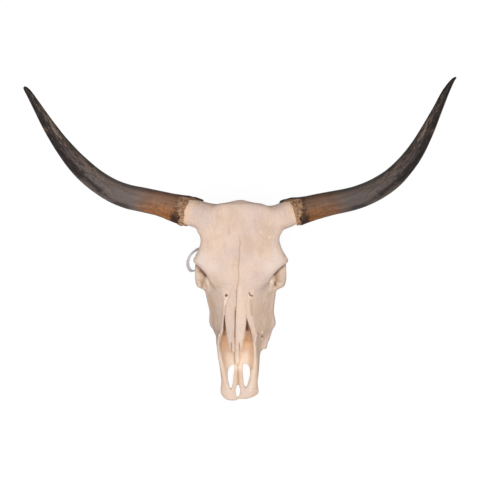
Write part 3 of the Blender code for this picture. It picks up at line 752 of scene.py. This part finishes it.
class Finish:
    """A material and the nodes behind its shader."""

    def __init__(self, name):
        self.material = bpy.data.materials.new(name)
        self.material.use_nodes = True
        self.tree = self.material.node_tree
        self.shader = self.tree.nodes["Principled BSDF"]

    def feed(self, socket, value):
        if isinstance(value, Shade):
            self.tree.links.new(value.socket, socket)
        else:
            socket.default_value = value

    def node(self, kind, settings, sockets, output=0):
        made = self.tree.nodes.new("ShaderNode" + kind)
        for key, value in settings.items():
            if key == "stops":
                stops = made.color_ramp.elements
                while len(stops) < len(value):
                    stops.new(1)
                for stop, (place, colour) in zip(stops, value):
                    stop.position, stop.color = place, colour
            else:
                setattr(made, key, value)
        for key, value in sockets.items():
            self.feed(made.inputs[key], value)
        return Shade(self, made.outputs[output])

    def shows(self, socket, value):
        self.feed(self.shader.inputs[socket], value)

    def bumped(self, strength, depth, relief):
        sockets = {"Strength": strength, "Distance": depth, "Height": relief}
        self.shows("Normal", self.node("Bump", {}, sockets))

    def place(self):
        return self.node("TexCoord", {}, {}, "Object")

    def felt(self, name, part):
        """One part (0, 1 or 2) of a piece's own attribute."""
        whole = self.node("Attribute", {"attribute_name": name}, {}, "Vector")
        return self.node("SeparateXYZ", {}, {0: whole}, part)

    def cloud(self, place, scale, detail=3.0, rough=0.5, by=(1, 1, 1), shift=(0, 0, 0)):
        """Noise over a place that is stretched and shifted first."""
        place = self.node("VectorMath", {"operation": "MULTIPLY_ADD"}, {0: place, 1: by, 2: shift})
        sockets = {"Vector": place, "Scale": scale, "Detail": detail, "Roughness": rough}
        return self.node("TexNoise", {}, sockets)

    def mixed(self, first, second, amount):
        return self.node("Mix", {"data_type": "RGBA"}, {0: amount, 6: first, 7: second}, 2)

    def layered(self, colour, *layers):
        """A colour under layers, each a screen colour and how much of it shows."""
        for shade, amount in layers:
            colour = self.mixed(colour, tint(*shade), amount)
        return colour


def tint(red, green, blue):
    """A colour from its screen values, 0 to 255, as the shader wants it."""
    values = [value / 255 for value in (red, green, blue)]
    return (*[value / 12.92 if value <= 0.04045 else ((value + 0.055) / 1.055) ** 2.4 for value in values], 1)


def bone_finish():
    bone = Finish("dry_bone")
    place = bone.place()
    fine, wide, inside = (bone.felt("hollow", part) for part in range(3))
    brown, tan, pale = (bone.felt("stain", part) for part in range(3))
    side_shade_and_grey, milky = (bone.felt("worn", part) for part in range(2))
    clouds = bone.cloud(place, 9)
    lilac = bone.cloud(place, 15, shift=(5, 1, 2))
    ochre = bone.cloud(place, 21, 4.0, by=(1, 0.5, 1), shift=(7, 2, 1))
    furrows = bone.cloud(place, 330, by=(1, 0.09, 1))
    specks = bone.cloud(place, 700, 2.0, shift=(1, 9, 4))
    bone.shows("Base Color", bone.layered(
        tint(235, 208, 193),
        ((238, 209, 187), (clouds * 3 - 1).kept()),
        ((216, 194, 187), ((lilac - 0.5) * 6).kept() * 0.5),
        ((220, 186, 156), ((ochre - 0.5) * 7).kept() * 0.6),
        ((190, 158, 134), ((furrows - 0.5) * 3).kept() * 0.36),
        ((166, 130, 104), ((specks - 0.57) * 8).kept() * 0.4),
        ((244, 224, 214), milky.kept() * 0.6),
        ((204, 166, 132), tan.kept() * (0.55 + clouds * 0.4)),
        # Painted shade: greyer on surfaces that turn to the side; also the grey tone of the left nasal bone.
        ((178, 156, 146), side_shade_and_grey.kept() * 0.34),
        # Darker and tanner in wide hollows and fine creases, paler on convex rims.
        ((200, 152, 116), (wide * 0.22 - 0.1).kept() * 0.35),
        ((156, 106, 70), (fine * 1.4 - 0.3).kept() * 0.5),
        ((250, 232, 212), (fine * -1.4 - 0.3).kept() * 0.5),
        # Peach inside the nose, the eye sockets and at the ends of the necks; the tint is lighter than the
        # bone's own colour, as painted light in the shaded nose.
        ((255, 213, 170), inside.kept() * (0.6 + clouds * 0.5)),
        ((254, 232, 208), pale.kept() * (0.65 + lilac * 0.5)),
        ((122, 74, 38), brown.kept() * 0.9),
    ))
    bone.shows("Roughness", 0.5 + furrows * 0.15)
    bone.bumped(0.35, 0.0006, bone.cloud(place, 420, 4.0, 0.6) + furrows * 0.8)
    return bone.material


dry_bone = bone_finish()
NOSE_MIDDLE = [0, -6, -6, -7, -7, -8, -9, -8.5, -9, -8]  # x of the leaned nose at the places of its outlines
NOSE_RIM = [46, 54, 60, 70, 80, 98, 116, 126, 128, 132]  # z of its rim there
BROWN_LINES = [  # points (x, y), half width, strength, lowest and highest z
    # Painted shade: dark brown under the overhanging rims of the eye sockets and in the hollows below them.
    ([(-114, -58), (-101, -73), (-90, -86)], 5, 0.7, 90, 152),  # under the rims of the eye sockets
    ([(-99, -76), (-87, -89)], 6, 1.0, 90, 152),
    ([(114, -57), (100, -70), (86, -85)], 6, 1.2, 90, 156),
    ([(-96, -108), (-95, -117)], 4.5, 0.6, 90, 140),
    ([(88, -106), (89, -115)], 3.5, 0.8, 90, 140),
    # Painted shade: dark brown down in the openings beside the nasal bones, fading out below.
    ([(-37, -190), (-39, -238)], 5, 0.7, 40, 122),  # beside the nasal bones
    ([(15, -190), (18, -226)], 6.5, 1.1, 40, 126),
    ([(18, -226), (20, -250)], 9, 0.35, 40, 126),
    # Painted shade: a dark line beside the raised vomer.
    ([(-14, -286), (-14, -312)], 2.4, 0.5, 30, 62),  # left of the vomer
    ([(-8, -126), (-11.5, -201), (-14.5, -246)], 1.4, 0.8, 90, 190),  # between them
    ([(-5.5, -316), (-4.5, -362)], 1.8, 0.4, 20, 60),  # seam of the palate's strip
]
TAN_LINES = [
    ([(-103, -60), (-98, -90), (-95, -114)], 10, 0.7, 90, 140),  # cheekbones
    ([(103, -62), (96, -84), (91, -112)], 10, 0.9, 90, 140),
    ([(-5, -312), (-4.5, -364)], 5, 1.2, 20, 60),  # strip between the slots of the palate
    # Painted shade: tan on the vomer's right side.
    ([(3, -286), (4, -308)], 4.5, 0.9, 30, 60),  # right of the vomer
    ([(-62, -190), (-70, -215), (-52, -262)], 22, 0.25, 30, 120),  # upper jaws
    ([(27, -143), (28, -165), (30, -186)], 4, 0.6, 100, 190),  # groove below the right nerve hole
    ([(60, 8), (52, 40), (70, 24)], 24, 0.4, 150, 250),  # right of the forehead
    ([(-88, -3), (-60, 6), (-26, 18)], 7, 0.18, 150, 250),
]
PALE_LINES = [
    ([(-86, -94), (-81, -108), (-77, -124)], 7, 0.6, 100, 160),  # inner walls of the eye sockets
    ([(85, -90), (80, -106), (77, -124)], 7, 0.7, 100, 160),
    ([(-104, -88), (-104, -112)], 9, 0.5, 90, 140),
    ([(104, -76), (102, -110)], 8, 0.5, 90, 140),
    ([(-34, -146), (-37, -160)], 4, 0.8, 110, 190),  # ridges below the nerve holes
    ([(22, -137), (25, -144), (31, -146)], 3, 0.8, 110, 190),
    # The palate is pale, and painted lighter still as painted light on the shaded floor of the nose.
    ([(-24, -298), (8, -296), (6, -314), (-22, -316)], 19, 1.5, 30, 70),  # palate
    ([(-46, -256), (-49, -300), (-38, -352), (-30, -380)], 5, 0.45, 30, 110),  # bars beside the nose
    ([(33, -256), (38, -300), (32, -352), (26, -380)], 5, 0.7, 30, 110),
    ([(56.5, -233), (57.5, -233)], 3.2, 1.4, 30, 120),  # knobs of the right upper jaw
    ([(56.5, -250.5), (57.5, -250.5)], 3.2, 1.4, 30, 120),
    ([(52, 20), (53, 19)], 3, 0.7, 150, 250),  # right of the forehead
    ([(73, 7), (74, 6)], 3, 0.7, 150, 250),
]
MILKY_LINES = [
    ([(-92, -46), (-100, -54), (-76, -70)], 24, 1.0, 150, 220),  # plates over the eyes
    ([(92, -46), (98, -54), (76, -70)], 24, 1.0, 150, 220),
    ([(-26, -380), (-24, -392)], 15, 0.5, 20, 60),  # lobes of the tip
    ([(21, -380), (18, -390)], 17, 0.9, 20, 60),
]
PEACH_LINES = [
    ([(-136, 45), (-138, 66), (-128, 84), (-116, 92)], 11, 0.5, 150, 240),  # ends of the necks
    ([(142, 42), (134, 60), (130, 74), (116, 88)], 9, 0.6, 150, 240),
    ([(-86, -92), (-81, -106), (-78, -116)], 7, 0.5, 100, 160),  # front walls of the eye sockets
    ([(86, -90), (81, -106), (78, -116)], 7, 0.5, 100, 160),
]


def painted(spots, lines):
    """How strongly the lines show at each spot, seen from above."""
    amount = np.zeros(len(spots))
    for line, half_width, strength, low, high in lines:
        band = bump(near_line(spots, line), half_width * 1.3) * strength
        amount = np.maximum(amount, band * within(spots[:, 2], low, high, 5))
    return amount


def stored(thing, name, *columns):
    """Stores three values at each point of a thing, for its finish to read."""
    layer = thing.data.attributes.new(name, "FLOAT_VECTOR", "POINT")
    layer.data.foreach_set("vector", np.stack(columns, 1).astype(np.float32).ravel())


def stained_and_shaded(thing):
    """Stores how hollow a piece is, how far inside the nose or an eye socket, its stains and painted shade
    and light, and its painted side shade and milky tone.
    """
    spots, normals = spots_of(thing), normals_of(thing)
    nearest = [skull_tree.find(spot)[1] for spot in spots.tolist()]
    x, y, z = spots.T
    none = np.zeros(len(spots))
    brown, tan, pale, milky, peach = (
        painted(spots, lines) for lines in (BROWN_LINES, TAN_LINES, PALE_LINES, MILKY_LINES, PEACH_LINES)
    )
    # Painted shade: greyer where the surface turns to the side, away from the light above.
    side_shade_and_grey = capped(1.0 - np.abs(normals[:, 2]) / 0.6)
    side_shade_and_grey *= 0.2 + 0.8 * np.maximum(within(y, -250, 120, 30), within(y, -420, -372, 15))
    marks = [none, none, none]
    if thing.name == "nasal_bone_left":
        side_shade_and_grey = 0.3 + 0.7 * side_shade_and_grey
    elif thing.name == "nasal_bone_right":
        pale = np.maximum(pale, 0.2)
    elif thing.name == "vomer_bone":
        pale = none + 0.7
    else:
        brown = np.maximum(brown, hole_shade_and_crack[nearest])
        tan = np.maximum(tan, warm_places[nearest])
        leaned = np.interp(-y, [50, 200], [0, LEAN]) * (z - UNLEANED_Z)
        places, _, *sizes = np.array(NOSE[:len(NOSE_RIM)]).T
        middle_x, middle_z, half_width, half_height, rim = (
            np.interp(y, places, row) for row in (NOSE_MIDDLE, *sizes, NOSE_RIM)
        )
        deep = 1.25 - (np.abs(x - middle_x + leaned) / half_width) ** 2.6
        deep -= (np.abs(z - middle_z) / half_height) ** 2.6
        inside = capped(deep * 7) * within(y, -385, -190, 15) * capped((rim - 3 - z) / 8)
        inside *= 1 - 0.85 * capped(normals[:, 2] * 2.5 - 0.5) * capped((-262 - y) / 26)
        places, *sizes = np.array(EYE_SOCKET[::-1]).T
        mid_y, mid_z, half_y, half_z = (np.interp(np.abs(x), places, row) for row in sizes)
        deep = 1.1 - (np.abs(y - mid_y) / half_y) ** 2.2 - (np.abs(z - mid_z) / half_z) ** 2.2
        eye = capped(deep * 8) * (np.abs(x) > 46) * capped((94 - np.abs(x)) / 12)
        marks = [hollow_fine[nearest], hollow_wide[nearest], np.maximum.reduce([inside, 0.7 * eye, peach])]
    stored(thing, "hollow", *marks)
    # Brown, tan and pale: stains, with painted shade and painted light among them.
    stored(thing, "stain", brown, tan, pale)
    stored(thing, "worn", side_shade_and_grey, milky, none)


def shaded_smooth(thing, angle):
    pick(thing)
    bpy.ops.object.shade_smooth_by_angle(angle=math.radians(angle))


for node, piece in pieces.items():
    stained_and_shaded(piece)
    shaded_smooth(piece, 50)
    piece.data.materials.clear()
    piece.data.materials.append(dry_bone)
    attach(piece, "root")
    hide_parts(node)

# ---- Cheek teeth ----
# Tall grinding teeth, worn flat: two pillars to each large one and one to each small one, grooved between, of
# yellow-white enamel with brown stain at the gum.
TOOTH_SIDES = 48


def tooth_finish():
    tooth = Finish("tooth_enamel")
    place = tooth.place()
    height = tooth.node("SeparateXYZ", {}, {0: place}, 2)
    streaks = tooth.cloud(place, 240, by=(1, 1, 0.2))
    tooth.shows("Base Color", tooth.layered(
        tint(240, 226, 208),
        ((226, 202, 174), (tooth.cloud(place, 60) * 3 - 1).kept()),
        ((136, 92, 66), ((streaks - 0.52) * 6).kept() * 0.4),
        ((128, 88, 62), ((height - 0.012) * 130).kept() * 0.5),
    ))
    tooth.shows("Roughness", 0.32)
    tooth.bumped(0.3, 0.0005, streaks)
    return tooth.material


tooth_enamel = tooth_finish()
for wanted, word in SIDES:
    crowns = []
    for side, x, y, half_width, half in tooth_places:
        if side != wanted:
            continue
        waist = 0.17 if half > 11 else 0  # between the two pillars of a large tooth
        outlines = []
        for z, grow in ((26, 0.2), (17, 0.1), (8, 0), (1.4, -0.2), (0, -0.7)):
            ring = []
            for step in range(TOOTH_SIDES):
                angle = 2 * math.pi * (step + 0.5) / TOOTH_SIDES
                along = squared(math.sin(angle), 0.55) * (half - 0.25 + grow)
                across = squared(math.cos(angle), 0.6) * (half_width - 0.4 + grow)
                slim = 1 - waist * math.exp(-(along / (0.16 * half)) ** 2)
                ribs = 1 + 0.05 * math.cos(6 * math.pi * along / half)
                ring.append((x + side * (8 - z) * 0.06 + across * slim * ribs, y + along, z))
            outlines.append(ring)
        crown = drawn_through("crown", outlines)
        with in_edit_mode():
            bpy.ops.mesh.select_all(action="DESELECT")
            for face in bmesh.from_edit_mesh(crown.data).faces:
                face.select_set(len(face.verts) == TOOTH_SIDES and face.normal.z < 0)
            bpy.ops.mesh.inset(thickness=1.3 * MM)
            bpy.ops.mesh.inset(thickness=0.5 * MM, depth=-0.9 * MM)
            bpy.ops.mesh.inset(thickness=2.2 * MM, depth=0.5 * MM)
        crowns.append(crown)
    teeth = joined(crowns, f"cheek_teeth_{word}")
    lean(teeth)
    shaded_smooth(teeth, 45)
    teeth.data.materials.append(tooth_enamel)
    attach(teeth, "root")
    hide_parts(f"maxilla_{word}")

# ---- Horns ----
# Two long sheaths of horn on their bone cores.  Each starts in a ragged, flaky collar that laps over the
# bone, goes through ochre and brown to dark grey, and ends in a near-black tip.
COLLAR_X = 134
HORN_LEFT = [  # x, y, z, radius
    (-134, 73, 187, 37.3), (-160, 79.5, 187, 35.6), (-200, 91, 187, 31.5), (-241, 100, 188, 31),
    (-281, 109, 190, 30.3), (-320, 124.2, 194, 29), (-360, 149.5, 200, 27.3), (-400, 184.2, 209, 25.5),
    (-439, 230, 222, 20.8), (-475, 282, 238, 16), (-506, 334, 256, 11), (-522, 361, 266, 8.2),
    (-531, 374, 271, 6.2), (-536.5, 380, 273.5, 3.2),
]
HORN_RIGHT = [
    (134, 70, 187, 35.6), (160, 75, 187, 33.8), (190, 83, 187, 31.7), (229, 91.8, 188, 30),
    (270, 100.4, 190, 29.3), (310, 112.8, 193, 28.8), (351, 133, 198, 27.6), (391.5, 163.5, 206, 25.5),
    (431, 210, 219, 22), (461.5, 262, 234, 17.8), (490, 321.5, 254, 12.6), (510, 365.5, 268, 9.2),
    (527, 394.5, 278, 5.2), (536.5, 404, 281, 2.2),
]
# How far in the sheath reaches, as |x| at turns round the horn from its rear edge over the top to its front.
RAGGED_TURNS = [-180, -135, -90, -45, 0, 16, 30, 45, 70, 90, 120, 157, 180]
RAGGED_LEFT = [128, 127, 124, 120, 106, 109, 119, 129, 137, 141, 136, 130, 128]
RAGGED_RIGHT = [138, 132, 126, 120, 115, 116, 120, 126, 131, 135, 134, 139, 138]
HORN_SIDES = 112
COLLAR_LENGTH = 34
COLLAR_STEP = 1.3  # from outline to outline as far as that, and further out
HORN_STEP = 4.2


def horn_finish(name, shade, dark_above):
    """Horn darkened by a shade; dark_above is how much of its dark ring shows on the upper side."""
    horn = Finish(name)
    lay = horn.node("Attribute", {"attribute_name": "lay"}, {}, "Vector")
    rear, along = (horn.felt("lay", part) for part in (0, 2))
    streaks = horn.cloud(lay, 170, 5.0, 0.65, by=(1, 1, 0.09))
    hairs = horn.cloud(lay, 620, 3.0, 0.6, by=(1, 1, 0.16))
    blots = horn.cloud(lay, 36, 5.0, 0.62, by=(1, 1, 0.4), shift=(2, 5, 1))
    mottles = horn.cloud(lay, 190, 4.0, 0.7, by=(1, 1, 0.33), shift=(6, 1, 3))
    bands = horn.cloud(lay, 150, 3.0, by=(0.12, 0.12, 1), shift=(1, 7, 2))
    patches = horn.cloud(lay, 24, 4.0, 0.66, by=(1, 1, 0.5), shift=(9, 4, 6))
    crumbs = horn.cloud(lay, 150, 4.0, 0.7, shift=(4, 4, 8))
    fibres = horn.cloud(lay, 300, 5.0, 0.65, by=(1, 1, 0.45), shift=(3, 8, 2))
    reach = along * 1.72  # 0 at the collar, 1 at the tip
    near_base = ((0.134 - along + (blots - 0.5) * 0.05) * 30).kept()
    past_base = (along * 7 - 0.8).kept()
    far_up = (along * 5 - 1.1).kept()
    low_side = (rear * -45 + 0.2).kept()
    # Dark blotches along the front edge, partly the horn's own colour and partly painted shade.
    front_edge_blots_and_shade = (rear * -70 - 0.7 + (patches - 0.5) * 10).kept()
    lengthwise = [
        (0.0, tint(138, 92, 62)), (0.08, tint(150, 106, 78)), (0.17, tint(146, 106, 84)),
        (0.2, tint(134, 112, 100)), (0.25, tint(106, 94, 90)), (0.42, tint(98, 86, 82)),
        (0.62, tint(100, 84, 78)), (0.78, tint(98, 80, 70)), (0.9, tint(42, 33, 29)), (1.0, tint(22, 17, 16)),
    ]
    body = horn.layered(
        horn.node("ValToRGB", {"stops": lengthwise}, {0: reach + (blots - 0.5) * 0.1}),
        ((188, 118, 50), ((0.58 - mottles) * 6).kept() * near_base * low_side * 0.9),
        ((84, 54, 38), ((bands - 0.5) * 7).kept() * near_base * 0.2),
        ((66, 40, 26), ((mottles - 0.52) * 9).kept() * near_base * 0.3),
        ((104, 60, 34), ((blots - 0.5) * 9).kept() * near_base * 0.5),
        # Lighter along the upper rear flank: partly the horn's bleached top, partly a painted sheen.
        ((172, 146, 130), (rear * 50 + 0.1).kept() * (2.6 - rear * 110).kept() * 0.36),
        ((142, 128, 120), ((0.48 - patches) * 9).kept() * past_base * 0.4),
        ((34, 26, 26), ((patches - 0.5) * 14).kept() * far_up * 0.85),
        ((30, 22, 22), ((blots - 0.53) * 12).kept() * far_up * 0.7),
        ((24, 18, 18), ((mottles - 0.51) * 15).kept() * past_base * (0.35 + far_up * 0.55)),
        ((180, 148, 122), ((0.45 - mottles) * 14).kept() * past_base * (0.22 + far_up * 0.5)),
        ((28, 22, 21), ((streaks - 0.52) * 9).kept() * (0.2 + past_base * 0.25)),
        ((142, 130, 122), ((0.46 - streaks) * 9).kept() * past_base * 0.25),
        ((30, 21, 22), front_edge_blots_and_shade * (along * 6 - 0.35).kept() * 0.8),
        # Painted shade: darker along the rear edge, where the horn turns away.
        ((34, 32, 28), (rear * 110 - 2.3).kept() * 0.7),
        ((20, 15, 13), (reach * 12 - 10.2).kept() * 0.75),
        ((24, 16, 10), shade),
    )
    flaky = horn.layered(
        tint(198, 158, 124),
        ((126, 88, 62), ((fibres - 0.4) * 4).kept()),
        ((84, 52, 32), ((crumbs - 0.5) * 9).kept() * 0.8),
    )
    jagged = along + (crumbs - 0.5) * 0.04
    ring = ((jagged - 0.021 + low_side * 0.011) * 220).kept() * ((0.036 - jagged) * 170).kept()
    collar = ((0.027 - jagged) * 260).kept()
    horn.shows("Base Color", horn.layered(
        horn.mixed(body, flaky, collar),
        ((44, 25, 14), ring * (dark_above + low_side * (1 - dark_above)) * 0.92),
        # Painted shade: the collar darker along its rear edge, mottled.
        ((62, 50, 42), (rear * 400 - 10.2 + (mottles - 0.5) * 3).kept() * collar * 0.9),
    ))
    horn.shows("Roughness", (0.46 + collar * 0.35 + (mottles - 0.5) * 0.3).kept())
    horn.shows("Specular IOR Level", 0.28)
    horn.bumped(0.45, 0.0007, hairs * 0.7 + streaks * 0.5 + fibres * collar * 2)
    return horn.material


def horn(name, side, neck, rows, ragged, lump):
    """One sheath, drawn ring by ring from its inner edge to its tip; its lump has a place and a height."""
    necks = np.array(sorted(neck, key=lambda row: abs(row[0])))
    inner = []
    for reach in range(98, 130, 6):  # round the bone core, under the collar
        y, z, half_y, half_z = (np.interp(reach, np.abs(necks[:, 0]), necks[:, k]) for k in (1, 2, 3, 4))
        inner.append((side * reach, y, z, half_y + 2.2, half_z + 2.2))
    outer = [(x, y, z, r, r) for x, y, z, r in rows]
    coarse = np.array(eased(inner + outer, 24))
    steps = np.r_[0, np.cumsum(np.linalg.norm(np.diff(coarse[:, :3], axis=0), axis=1))]
    start = np.interp(COLLAR_X, np.abs(coarse[:, 0]), steps)
    collar_end = start + COLLAR_LENGTH
    marks = [*np.arange(0, collar_end, COLLAR_STEP), *np.arange(collar_end, steps[-1], HORN_STEP), steps[-1]]
    marks = np.array(marks)
    path = np.stack([np.interp(marks, steps, coarse[:, k]) for k in range(5)], 1)
    heading = np.gradient(path[:, :3], marks, axis=0)
    heading /= np.linalg.norm(heading, axis=1)[:, None]
    rear = np.cross((0, 0, 1), heading) * side  # towards the rear edge of the horn
    rear /= np.linalg.norm(rear, axis=1)[:, None]
    top = np.cross(heading, rear) * side
    turns = 2 * np.pi * (np.arange(HORN_SIDES) + 0.5) / HORN_SIDES
    c, s = np.cos(turns), np.sin(turns)
    outlines, lays = [], []
    for row, rear_way, top_way, along in zip(path, rear, top, marks - start):
        lay = np.stack([c * 30, s * 30, np.full(HORN_SIDES, along)], 1)
        half = row[3] * row[4] / np.sqrt((row[4] * c) ** 2 + (row[3] * s) ** 2)
        slim = min(1.0, row[3] / 20)
        rise = 0.2 * slim * grained(lay * (1, 1, 0.07), 4.2, 31, 2)
        rise += 0.5 * np.exp(-max(along, 0) / 90) * grained(lay * (0.15, 0.15, 1), 6.5, 32, 2)
        rise += 0.5 * slim * grained(lay * (1, 1, 0.4), 26, 33, 2)
        if along < 60:
            flakes = grained(lay * (1, 1, 0.4), 4.5, 34, 3)
            rim = capped((24 + 4 * grained(lay * (1, 1, 0), 16, 36, 2) - along) / 9)
            rise += rim * (0.8 + 0.45 * flakes)
            edge = np.interp(np.degrees((turns + np.pi) % (2 * np.pi) - np.pi), RAGGED_TURNS, ragged)
            edge += 3.2 * grained(lay * (1, 1, 0), 5, 37, 2) + 1.5 * grained(lay, 3, 38, 1)
            rise -= 1.2 * capped((edge + 14 - abs(row[0])) / 14)
            rise -= 11 * capped((edge - abs(row[0])) / 5)
            gap = np.hypot((turns - np.pi) * 32, along - lump[0])
            rise += lump[1] * capped(1 - gap / 9)
        size = half + rise * min(1.0, row[3] / 6)
        spots = row[:3] + (c * size)[:, None] * rear_way + (s * size)[:, None] * top_way
        outlines.append(spots.tolist())
        lays.append(lay)
    made = drawn_through(name, outlines)
    tree = tree_of(np.concatenate(outlines))
    nearest = [tree.find(spot)[1] for spot in spots_of(made).tolist()]
    stored(made, "lay", *(np.concatenate(lays)[nearest] * MM).T)
    return made


for side, word, neck, rows, ragged, lump, shade, dark_above in (
    (-1, "left", NECK_LEFT, HORN_LEFT, RAGGED_LEFT, (6, 3.0), 0.06, 0.1),
    (1, "right", NECK_RIGHT, HORN_RIGHT, RAGGED_RIGHT, (16, 1.2), 0.32, 0.55),
):
    sheath = horn(f"horn_sheath_{word}", side, neck, rows, ragged, lump)
    shaded_smooth(sheath, 60)
    sheath.data.materials.append(horn_finish(f"{word}_horn_sheath", shade, dark_above))
    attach(sheath, "root")
    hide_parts(f"horn_{word}")

# ---- Tie ----
# A stiff strap of clear grey plastic, closed in a ring round the bar behind the left eye socket.
TIE_TILT = 62
TIE = [  # x, y, z
    (-98, -20, 159), (-113, -27, 163), (-125, -39, 160), (-131, -54, 149), (-130, -67, 131),
    (-124, -77, 108), (-114, -77, 88), (-100, -68, 80), (-89, -53, 86), (-84, -39, 102), (-85, -28, 124),
    (-90, -21, 145),
]
data = bpy.data.curves.new("plastic_tie", "CURVE")
data.dimensions = "3D"
data.extrude = 3.6 * MM
data.bevel_depth = 0.7 * MM
data.bevel_resolution = 3
spline = data.splines.new("POLY")
path = eased([*TIE, TIE[0]], 8)[:-1]
spline.points.add(len(path) - 1)
for point, spot in zip(spline.points, path):
    point.co = (*Vector(spot) * MM, 1)
    point.tilt = math.radians(TIE_TILT)
spline.use_cyclic_u = True
tie = bpy.data.objects.new("plastic_tie", data)
bpy.context.scene.collection.objects.link(tie)
pick(tie)
bpy.ops.object.convert(target="MESH")
tie = bpy.context.object
with in_edit_mode():
    bpy.ops.mesh.remove_doubles(threshold=0.00001)
    face_outwards()
shaded_smooth(tie, 60)
plastic = Finish("clear_grey_plastic")
scuffs = plastic.cloud(plastic.place(), 160, 4.0)
plastic.shows("Base Color", plastic.mixed(tint(238, 234, 238), tint(204, 201, 207), (scuffs * 3 - 1).kept()))
plastic.shows("Roughness", 0.18 + scuffs * 0.2)
tie.data.materials.clear()
tie.data.materials.append(plastic.material)
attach(tie, "root")
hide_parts("tie_loop")

# ---- Floor, light and camera ----
# The skull lies on a plain white floor in a studio with broad soft light, photographed from far above.  The
# floor is lit evenly from below, as a light table is, and throws none of that light on the skull.
pick()
bpy.ops.mesh.primitive_plane_add(size=14, location=(0, 0, -0.0005))
floor = bpy.context.object
floor.name = "studio_floor"
paper = Finish("white_paper")
paper.shows("Base Color", (0.12, 0.12, 0.12, 1))
paper.shows("Roughness", 1.0)
paper.shows("Specular IOR Level", 0.0)
paper.shows("Emission Color", (1, 1, 1, 1))
paper.shows("Emission Strength", 0.92)
floor.data.materials.append(paper.material)
floor.visible_diffuse = False
floor.visible_glossy = False

for name, place, size, power in (
    ("soft_light_above", (0.0, 0.0, 4.6), 1.6, 60),
    ("soft_light_left", (-3.0, -0.6, 2.6), 2.0, 25),
    ("soft_light_right", (3.0, -0.4, 2.6), 2.0, 22),
    ("soft_light_in_front", (0.0, -3.2, 3.0), 2.0, 46),
):
    lamp = bpy.data.lights.new(name, "AREA")
    lamp.shape = "SQUARE"
    lamp.size = size
    lamp.energy = power
    light = bpy.data.objects.new(name, lamp)
    light.location = place
    light.rotation_euler = (Vector((0, 0, 0.1)) - Vector(place)).to_track_quat("-Z", "Y").to_euler()
    light.visible_camera = False
    bpy.context.scene.collection.objects.link(light)
sky = bpy.data.worlds.new("studio")
sky.use_nodes = True
sky.node_tree.nodes["Background"].inputs["Color"].default_value = (1, 1, 1, 1)
sky.node_tree.nodes["Background"].inputs["Strength"].default_value = 0.325
bpy.context.scene.world = sky
bpy.context.scene.view_settings.view_transform = "Standard"

DISTANCE = 12.0
FRAME_WIDTH = 1.2
PLANE_HEIGHT = 0.2  # the height at which the frame is that wide
SENSOR_WIDTH = 36
camera = bpy.data.objects.new("camera", bpy.data.cameras.new("camera"))
camera.data.sensor_width = SENSOR_WIDTH
camera.data.lens = SENSOR_WIDTH * DISTANCE / FRAME_WIDTH
camera.data.clip_end = 100
camera.location = (0, 0, PLANE_HEIGHT + DISTANCE)
bpy.context.scene.collection.objects.link(camera)
bpy.context.scene.camera = camera
